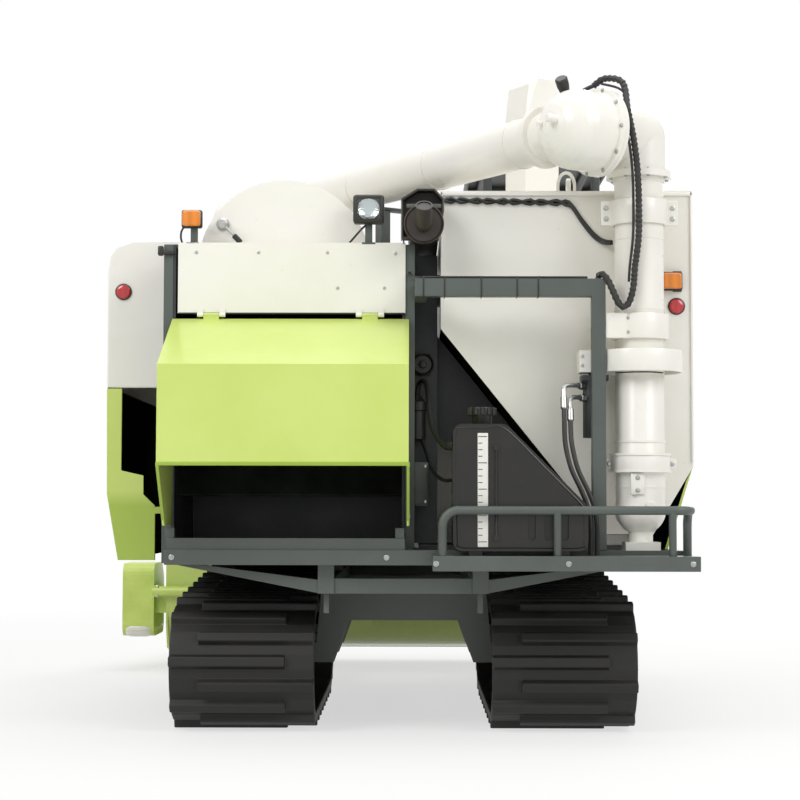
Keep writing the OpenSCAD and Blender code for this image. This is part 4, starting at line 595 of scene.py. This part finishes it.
# Fuel tank on the rear platform, with a ribbed screw cap and a printed level strip.
# Blow-moulded black polyethylene: a soft satin skin, and a raised mould line round the rear face.
fuel_plastic = moulded("black_polyethylene", "#141311", "#1F1D1A", 6, 0.34, 0.16)
wear(fuel_plastic, "fuel_tank", "fuel_fittings", edge_mm=9)


def circle(count, r, first=0):
    """Points spread evenly on a circle, as steps from its middle; first is an angle in degrees."""
    angles = [math.radians(360 / count * k + first) for k in range(count)]
    return [(r * math.cos(a), r * math.sin(a)) for a in angles]


cap_x, cap_y, cap_z, cap_r = 292, -150, 1197, 47
ribs = [turned("cap_rib", (cap_x + i, cap_y + j, cap_z), upward, [[0, 6], [2, 8], [26, 8], [29, 5]], 10)
        for i, j in circle(12, cap_r)]
fitted(joined("fuel_cap_ribs", ribs), "machine", grip_plastic)
strip = block("level_strip", (272, -253, 712), (310, -249, 1128), 1)
strip_paint = enamel("white_printed_film", "#E9E8E2", "#E1E0DA", 0.4)
fitted(strip, "machine", strip_paint)
tick_z, tick_step = 730, 24
ticks = [block("tick", (274, -254.2, tick_z + tick_step * k),
               (290 if k % 4 else 306, -252.8, tick_z + 2.4 + tick_step * k), 0.4, 1) for k in range(17)]
fitted(joined("level_ticks", ticks), "machine", grip_plastic)
parting = ((200, 722), (196, 900), (196, 1120), (214, 1146), (300, 1148), (372, 1144), (520, 1000), (650, 868),
           (661, 840), (661, 730), (640, 711), (420, 711), (216, 711), (200, 722))
bead = tube("fuel_tank_bead", [(x, -250, z) for x, z in parting], 4)
fitted(bead, "machine", fuel_plastic)

# Unloading column: rolled cream tube with clamp bands and bolted collar plates, turning on its foot.
# The bands are flat steel under the same enamel, with zinc bolts through their ears.
# The foot has an inspection cover and stands on the base frame.
column_x, column_y, column_r = 894, -20, 92


def band(name, z, height, lip=3):
    """A clamp band round the column, from z up, that stands out by lip."""
    r = column_r + lip
    return turned(name, (column_x, column_y, z), upward,
                  [[0, column_r], [0.5, r], [height - 0.5, r], [height, column_r]], 64)


bands = [band("band_a", 1868, 12), band("band_b", 1600, 14), band("band_c", 2088, 16, 6)]
fitted(joined("column_bands", bands), "unloader_column", cream)
foot_bands = [band("foot_band_a", 988, 8, 24), band("foot_band_b", 1050, 10, 24), band("foot_band_c", 1100, 9, 5),
              band("foot_band_d", 930, 8, 3)]
fitted(joined("foot_bands", foot_bands), "machine", cream)
ears = [block("ear", (x, -34, 1002), (x + 34, -6, 1040), 3) for x in (994, 760)]
fitted(joined("foot_band_ears", ears), "machine", cream)
bolts("foot_band_bolts", rearward, 8, [(1012, -34, 1021), (776, -34, 1021)])
cover = joined("inspection_cover", [block("plate", (846, -121, 905), (898, -106, 985), 4),
                                    turned("boss", (920, -112, 862), rearward, [[-14, 20], [4, 20], [8, 16]], 24)])
fitted(cover, "machine", cream)
bolts("inspection_bolts", rearward, 8, [(872, -121, 968), (872, -121, 922)])
bolts("collar_bolts", rearward, 9, [(767, -36, 1991), (767, -36, 1950), (1019, -36, 1991), (1019, -36, 1950)])
bolts("bearing_bolts", rearward, 7, [(842, -115, 1565), (842, -115, 1512)])
bolts("guard_bolts", rearward, 6, [(672, -68, 1425), (672, -68, 1390), (766, -68, 1425), (766, -68, 1390)])
flange = [(column_x + i, column_y + j) for i, j in circle(8, 111, 12)]
bolts("column_flange_bolts", upward, 7, [(x, y, 2128) for x, y in flange], "unloader_column")
bolts("column_flange_nuts", (0, 0, -1), 7, [(x, y, 2104) for x, y in flange], "unloader_column")

# Unloading boom: bowl, long tube and rubber-lipped spout, lifted about the column's elbow.
# Its parts are rolled and pressed sheet in cream enamel, bolted at the flange rings.
boom_z, tube_u = 2262, -305
heading = math.radians(33)


def on_boom(u, t, z):
    """Beside the boom's lifting axis: u across, t along the parked tube, z over its middle, in millimetres."""
    return (column_x + u * math.cos(heading) - t * math.sin(heading),
            column_y + u * math.sin(heading) + t * math.cos(heading), boom_z + z)


along = (-math.sin(heading), math.cos(heading), 0)
outward = (-math.cos(heading), -math.sin(heading), 0)
bolts("bowl_bolts", outward, 8, [on_boom(-212, i, j) for i, j in circle(10, 158)], "unloader_boom")
bolts("tube_flange_bolts", along, 7, [on_boom(tube_u + i, 198, j) for i, j in circle(8, 106)], "unloader_boom")
rings = [turned("tube_band", on_boom(tube_u, t, 0), along, [[0, 94], [0.5, 98], [14, 98], [14.5, 94]], 48)
         for t in (330, 900, 1500, 2100)]
fitted(joined("boom_bands", rings), "unloader_boom", cream)
lips = turned("spout_lip", on_boom(tube_u, 2625, -226), (0, 0, -1),
              [[0, 88], [0.5, 92], [5, 92], [10, 90], [10, 82], [0, 81]], 48)
fitted(lips, "unloader_boom", line_rubber)
bosses = [turned("boss", on_boom(-422, -40, 20), outward, [[-30, 16], [12, 16], [15, 12]], 24),
          turned("boss_small", on_boom(-410, 40, 16), outward, [[-30, 9], [14, 9], [16, 6]], 16)]
fitted(joined("bowl_bosses", bosses), "unloader_boom", cream)

# Lifting bow of the grain tank.
# Bent steel rod in the tank's cream enamel, welded to the rear edge of its roof.
bow = ((600, 2082), (600, 2120), (612, 2150), (632, 2160), (652, 2150), (664, 2120), (664, 2082))
eye = tube("tank_bow", [(x, 150, z) for x, z in bow], 7)
fitted(eye, "machine", cream)

# Wiring: over the bowl, down beside the turning column and in a loose loop to the beam's end.
# Split black polypropylene conduit, ribbed all along, with a thin bare cable beside it.
# Both hang free between bowl and beam, and ride on no body.
conduit = moulded("black_conduit", "#1B1B1A", "#2C2B29", 6, 0.42, 0.1)
bowl_clip, tube_clip = on_boom(-196, 24, 184), on_boom(-292, 240, 108)
down = tube("column_conduit", [bowl_clip, on_boom(-180, -24, 204), on_boom(-150, -90, 178), (832, -210, 2330),
                               (852, -218, 2220), (868, -196, 2110), (878, -152, 1993), (878, -137, 1864),
                               (864, -136, 1756), (860, -136, 1700), (852, -138, 1652), (838, -138, 1616),
                               (818, -138, 1604), (800, -136, 1622), (783, -132, 1662), (764, -122, 1706),
                               (746, -108, 1730), (734, -96, 1728), (731, -94, 1712)], 14, 12, 0.24, 9)
side_cable = tube("column_cable", [on_boom(-190, -10, 186), on_boom(-152, -100, 140), (822, -218, 2280),
                                   (838, -216, 2190), (850, -190, 2100), (858, -146, 1990), (858, -128, 1870),
                                   (846, -126, 1760), (842, -126, 1700)], 5, 8)
for strand, d in ((down, 25), (side_cable, 10)):
    fitted(strand, None, conduit)
    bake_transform(strand)
over = tube("boom_cable", [bowl_clip, on_boom(-214, 66, 170), on_boom(-246, 130, 132), on_boom(-276, 190, 124),
                           tube_clip, on_boom(-300, 300, 100)], 8, 10)
fitted(over, None, conduit)
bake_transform(over)
twist = []
for k in (0, 1):
    points = []
    for i in range(15):
        x, turn = 150 + 34 * i, math.pi * i / 1.5 + math.pi * k
        points.append((x, 113 + 4 * math.cos(turn), 2046 - 0.02 * (x - 150) + 9 * math.sin(turn)))
    points += [(650, 110, 2020 + 6 * k), (690, 108, 1960 + 8 * k), (734, 108, 1905 + 10 * k),
               (770, 104, 1880 + 8 * k), (800, 70, 1872 + 6 * k)]
    twist.append(tube("tank_cable", points, 7, 8))
fitted(joined("tank_cables", twist), "machine", conduit)

# Swing motor's lines: bent steel pipes with nuts and crimped ends, and two pressure hoses down to the platform.
# The pipes are zinc-plated; the hoses are plain black rubber, held by crimps above and the platform below.
motor_x, motor_y, pipe_back = 722, -12, 78
hoses, ends = [], []
for k in (0, 1):
    z, x = 1270 + 45 * k, 624 - 24 * k
    reach = math.hypot(x - motor_x, pipe_back)
    out = ((x - motor_x) / reach, -pipe_back / reach, 0)
    nut, near, far = [(motor_x + out[0] * d, motor_y + out[1] * d, z) for d in (50, 62, reach - 24)]
    ends.append(turned("pipe_nut", nut, out, [[0, 15], [20, 15], [22, 12]], 6))
    ends.append(tube("pipe", [near, far, (x + 4, -88, z - 5), (x - 1, -100, z - 24), (x - 1, -107, z - 52)], 9, 12))
    ends.append(turned("crimp", (x - 1, -106, z - 46), (0, -0.3, -1), [[0, 10], [2, 13], [44, 13], [48, 10]], 14))
    route = [(x - 1, -107, z - 54), (x - 1, -120, z - 96), (x - 1, -128, z - 130), (x + 2, -142, 1090),
             (x + 22, -158, 1000), (x + 58, -166, 920), (x + 84, -167, 850), (x + 92, -166, 780),
             (x + 92, -165, 730), (x + 92, -165, 681)]
    hose = tube("motor_hose_%d" % (k + 1), route, 9, 14)
    hoses.append(fitted(hose, "machine", line_rubber))
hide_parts("motor_hoses")
fitted(joined("hose_ends", ends), "machine", zinc)

# Rear lamps: two amber turn lamps, a work lamp and two red reflectors, with a small lamp on the boom.
# Clear and tinted polycarbonate lenses over bright reflectors, in black moulded housings.
# Bent steel feet hold the lamps on the thresher and the tank.


def lens_glass(name, tint, ribs_mm):
    """A tinted lens with upright flutes."""
    mat, tree, shader = blank(name)
    place = add(tree, "ShaderNodeTexCoord").outputs["Object"]
    flute = add(tree, "ShaderNodeTexWave", {"Vector": place, "Scale": 1000 / ribs_mm / 20, "Distortion": 0.0},
                bands_direction="X")
    tone = add(tree, "ShaderNodeValToRGB", {"Fac": flute.outputs["Fac"]})
    tone.color_ramp.elements[0].color = [c * 0.8 for c in linear(tint)[:3]] + [1]
    tone.color_ramp.elements[1].color = linear(tint)
    tree.links.new(tone.outputs["Color"], shader.inputs["Base Color"])
    bump = add(tree, "ShaderNodeBump", {"Height": flute.outputs["Fac"], "Strength": 0.4, "Distance": 0.001})
    tree.links.new(bump.outputs["Normal"], shader.inputs["Normal"])
    shader.inputs["Roughness"].default_value = 0.12
    shader.inputs["Coat Weight"].default_value = 0.6
    return mat


amber = lens_glass("amber_polycarbonate", "#F08A12", 6)
red = lens_glass("red_reflector", "#C9262B", 4)
feet = [block("turn_foot", (-824, 80, 1873), (-796, 88, 2000), 2),
        block("turn_foot_right", (1040, 108, 1690), (1074, 121, 1770), 2),
        block("work_foot", (-150, 78, 1873), (-122, 86, 1962), 2),
        block("turn_base", (-840, 72, 1868), (-790, 100, 1876), 2),
        block("work_base", (-162, 70, 1868), (-110, 100, 1876), 2)]
lamp_feet = fitted(joined("lamp_feet", feet), "machine", frame_grey)
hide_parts("rear_lamps")
shells = [block("turn_shell_left", (-858, 62, 1930), (-778, 92, 2000), 8, 3),
          block("turn_shell_right", (994, 96, 1694), (1076, 121, 1766), 8, 3)]
fitted(joined("turn_lamp_shells", shells), "machine", grip_plastic)
lenses = [block("turn_lens_left", (-853, 40, 1935), (-783, 64, 1995), 9, 4),
          block("turn_lens_right", (999, 76, 1699), (1071, 98, 1761), 9, 4)]
fitted(joined("turn_lamp_lenses", lenses), "machine", amber)
places = ((-1122, 350, 1714), (1054, 120, 1634))
reflectors = [turned("reflector", p, rearward, [[0, 28], [7, 28], [10, 24], [11, 12]], 36) for p in places]
fitted(joined("reflectors", reflectors), "machine", red)
rims = [turned("reflector_rim", p, rearward, [[0, 33], [5, 33], [7, 30], [7, 27]], 36) for p in places]
fitted(joined("reflector_rims", rims), "machine", grip_plastic)
shell = block("work_lamp_shell", (-196, 42, 1946), (-76, 100, 2058), 13, 4)
pick_faces(shell, lambda normal: normal.y < -0.99)
bpy.ops.mesh.inset(thickness=0.004)
bpy.ops.mesh.extrude_region_move()
bpy.ops.transform.translate(value=(0, 0.012, 0))
bpy.ops.object.mode_set(mode="OBJECT")
fitted(shell, "machine", grip_plastic)
dish = [[0, 38], [0.5, 40], [5, 41], [6, 39], [2, 26], [1, 12]]
bowl = turned("work_lamp_reflector", (-136, 53, 2002), rearward, dish, 40)
mirror, tree, shader = blank("vacuum_metallised_reflector")
place = add(tree, "ShaderNodeTexCoord").outputs["Object"]
cells = add(tree, "ShaderNodeTexVoronoi", {"Vector": place, "Scale": 120.0})
dent = add(tree, "ShaderNodeBump", {"Height": cells.outputs["Distance"], "Strength": 0.5, "Distance": 0.002})
tree.links.new(dent.outputs["Normal"], shader.inputs["Normal"])
shader.inputs["Base Color"].default_value = linear("#D9DCDD")
shader.inputs["Metallic"].default_value = 1.0
shader.inputs["Roughness"].default_value = 0.16
fitted(bowl, "machine", mirror)
clear, tree, shader = blank("clear_lamp_glass")
shader.inputs["Transmission Weight"].default_value = 1.0
shader.inputs["Roughness"].default_value = 0.03
shader.inputs["IOR"].default_value = 1.5
shader.inputs["Base Color"].default_value = linear("#EEF2F2")
pane = block("work_lamp_glass", (-180, 43, 1962), (-92, 46, 2042), 1.2, 2)
fitted(pane, "machine", clear)
wires = [tube("turn_wire", [(-850, 70, 1932), (-858, 66, 1915), (-860, 70, 1890), (-856, 90, 1874)], 4, 8),
         tube("work_wire", [(-140, 92, 1950), (-160, 70, 1930), (-186, 66, 1900), (-210, 82, 1875)], 4, 8)]
fitted(joined("lamp_wires", wires), "machine", line_rubber)
boom_lamp = turned("boom_lamp", on_boom(tube_u, 60, 150), (-0.3, -0.6, 0.75),
                   [[-20, 18], [14, 24], [40, 24], [44, 20]], 28)
fitted(boom_lamp, "unloader_boom", grip_plastic)

# Operator's place: ribbed floor, moulded consoles with levers, a gauge and switches, and the seat's base.
# Consoles and levers are textured black polyethylene, screwed to the floor; the floor's ribs are rubber.
console_plastic = moulded("textured_console_plastic", "#262826", "#363A38", 4, 0.5, 0.35)
wear(console_plastic, "control_console", "seat_base", edge_mm=8)
rib_step, switch_step = 60, 44
treads = [block("floor_rib", (270 + rib_step * k, 2110, 949), (292 + rib_step * k, 2460, 954), 2) for k in range(13)]
fitted(joined("floor_ribs", treads), "machine", line_rubber)
gauge = turned("gauge", (640, 2508, 1446), (0, -0.44, 0.9), [[0, 60], [6, 60], [9, 56], [6, 50]], 40)
fitted(gauge, "machine", grip_plastic)
keys = [block("switch", (480 + switch_step * k, 2490, 1420), (508 + switch_step * k, 2516, 1440), 4)
        for k in range(3)]
fitted(joined("console_switches", keys), "machine", grip_plastic)

# Seat: two foam pads under black coated fabric, sewn along a piping, on the seat's base.
# Each pad is crowned, with its sides drawn in between the corners.
# The fabric's grain is drawn about 4 mm wide, because the real one is too fine to show.
cover_cloth, tree, shader = blank("coated_seat_fabric")
place = add(tree, "ShaderNodeTexCoord").outputs["Object"]
weave = add(tree, "ShaderNodeTexVoronoi", {"Vector": place, "Scale": 260.0})
tone = add(tree, "ShaderNodeValToRGB", {"Fac": weave.outputs["Distance"]})
tone.color_ramp.elements[0].color = linear("#2A2A2A")
tone.color_ramp.elements[1].color = linear("#191919")
tree.links.new(tone.outputs["Color"], shader.inputs["Base Color"])
grain = add(tree, "ShaderNodeBump", {"Height": weave.outputs["Distance"], "Strength": 0.35, "Distance": 0.001})
tree.links.new(grain.outputs["Normal"], shader.inputs["Normal"])
shader.inputs["Roughness"].default_value = 0.62
shader.inputs["Sheen Weight"].default_value = 0.15


def pad(name, low, high, crown, waist):
    """A foam pad between two corners; crown and waist are in millimetres."""
    piece = block(name, low, high, 26, 4)
    subdivide(3)
    a, b = spot(*low), spot(*high)
    mid, half = (a + b) / 2, (b - a) / 2
    thin = min(range(3), key=lambda i: half[i])
    wide = [i for i in range(3) if i != thin]
    for v in piece.data.vertices:
        u = [(v.co[i] - mid[i]) / half[i] for i in range(3)]
        dome = (1 - u[wide[0]] ** 2) * (1 - u[wide[1]] ** 2)
        if u[thin] > 0:
            v.co[thin] -= crown / 1000 * (1 - dome) * u[thin]
        for i, j in ((0, 1), (1, 0)):
            v.co[wide[i]] -= waist / 1000 * u[wide[i]] * (1 - u[wide[j]] ** 2)
    smooth = piece.modifiers.new("round", "SUBSURF")
    smooth.levels = smooth.render_levels = 1
    bpy.ops.object.modifier_apply(modifier="round")
    return piece


cushion = fitted(pad("seat_cushion", (430, 1724, 1381), (870, 2098, 1480), 26, 9), "machine", cover_cloth)
backrest = fitted(pad("seat_backrest", (440, 1723, 1490), (860, 1802, 1910), 20, 9), "machine", cover_cloth)
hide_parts("seat_pads")
sewn = ((452, 1744), (440, 1910), (452, 2080), (650, 2090), (848, 2080), (860, 1910), (848, 1744))
piping = tube("seat_piping", [(x, y, 1440) for x, y in sewn], 5, 8)
fitted(piping, "machine", line_rubber)

# Canopy: a shallow moulded tray on a bent tube frame, which stands on the engine's housing.
# Dark grey plastic with a satin grain; pressed beads along the tray stiffen it.
canopy_plastic = moulded("grey_canopy_plastic", "#333837", "#434947", 5, 0.48, 0.25)
wear(canopy_plastic, "canopy_roof", "canopy_frame", edge_mm=8)
bead_step = 106
beads = [block("canopy_bead", (345 + bead_step * k, 1560, 2518), (385 + bead_step * k, 2530, 2526), 4, 3)
         for k in range(6)]
fitted(joined("canopy_beads", beads), "machine", canopy_plastic)

# Engine screen: a black moulded frame with slats, hinged to the engine's housing.
# A fine mesh of zinc-plated wire keeps chaff out of the radiator.
screen_plastic = moulded("black_screen_frame", "#232625", "#323635", 5, 0.5, 0.25)
wear(screen_plastic, "engine_screen", edge_mm=1.5)
wire_step = 20
mesh_wires = [block("wire", (1074, 1535 + wire_step * k, 765), (1076, 1537 + wire_step * k, 1225), 0.5, 1)
              for k in range(25)]
mesh_wires += [block("wire", (1076, 1532, 770 + wire_step * k), (1078, 2018, 772 + wire_step * k), 0.5, 1)
               for k in range(23)]
fitted(joined("screen_mesh", mesh_wires), "engine_screen", zinc)

# Header: lime sheet trough, steel auger, cutter bar with triangular knife sections, and the feathering reel.
# Working parts are bare steel polished by the crop; dividers are lime plastic and tine bars are black.
# The trough hangs on the feeder house and carries the rest.
worked_steel, tree, shader = blank("crop_polished_steel")
place = add(tree, "ShaderNodeTexCoord").outputs["Object"]
drawn = add(tree, "ShaderNodeMapping", {"Vector": place, "Scale": (4, 60, 60)})
scour = add(tree, "ShaderNodeTexNoise", {"Vector": drawn.outputs[0], "Scale": 6.0, "Detail": 5.0})
tone = add(tree, "ShaderNodeValToRGB", {"Fac": scour.outputs["Fac"]})
tone.color_ramp.elements[0].color = linear("#5E6264")
tone.color_ramp.elements[1].color = linear("#A9ADAE")
tree.links.new(tone.outputs["Color"], shader.inputs["Base Color"])
shader.inputs["Metallic"].default_value = 0.9
shader.inputs["Roughness"].default_value = 0.38
wear(worked_steel, "cutter_bar", "header_auger")
lime_plastic = moulded("lime_moulded_plastic", "#C2D669", "#D2E37C", 5, 0.34, 0.08)
wear(lime_plastic, "crop_dividers", "header_drive", edge_mm=5)
tine_black = moulded("black_tine_steel", "#1E2020", "#303333", 6, 0.45, 0.2)
wear(tine_black, *("tine_bar_%d" % k for k in range(1, 6)))
knife_start, knife_step = -1207, 76.2
knives = []
for k in range(28):
    bpy.ops.mesh.primitive_circle_add(vertices=3, radius=0.042, fill_type="NGON",
                                      location=spot(knife_start + (k + 0.5) * knife_step, 3520, 94))
    bpy.ops.object.transform_apply(location=True, rotation=True, scale=True)
    thicken((0, 0, 0.004))
    knives.append(bpy.context.object)
fitted(joined("knife_sections", knives), "header", worked_steel)
pale_guard = block("drive_guard_foot", (-1484, 2736, 176), (-1312, 3154, 262), 50, 5)
fitted(pale_guard, "header", cream)
bolts("drive_bolts", rearward, 8, [(-1290, 2670, 440), (-1290, 2670, 396)], "header")

# Hydraulic rods of the header and reel lifts, pinned at their ends and guided by the barrels.
# Hard chrome over ground steel, wiped clean at each stroke, so it shines with faint streaks.
chrome, tree, shader = blank("hard_chrome")
place = add(tree, "ShaderNodeTexCoord").outputs["Object"]
streak = add(tree, "ShaderNodeTexNoise", {"Vector": place, "Scale": 40.0, "Detail": 2.0})
shine = add(tree, "ShaderNodeMapRange", {"Value": streak.outputs["Fac"], "To Min": 0.08, "To Max": 0.18})
tree.links.new(shine.outputs[0], shader.inputs["Roughness"])
shader.inputs["Base Color"].default_value = linear("#D4D7D8")
shader.inputs["Metallic"].default_value = 1.0
wear(chrome, "lift_rod", "reel_rods")

bpy.ops.object.select_all(action="DESELECT")
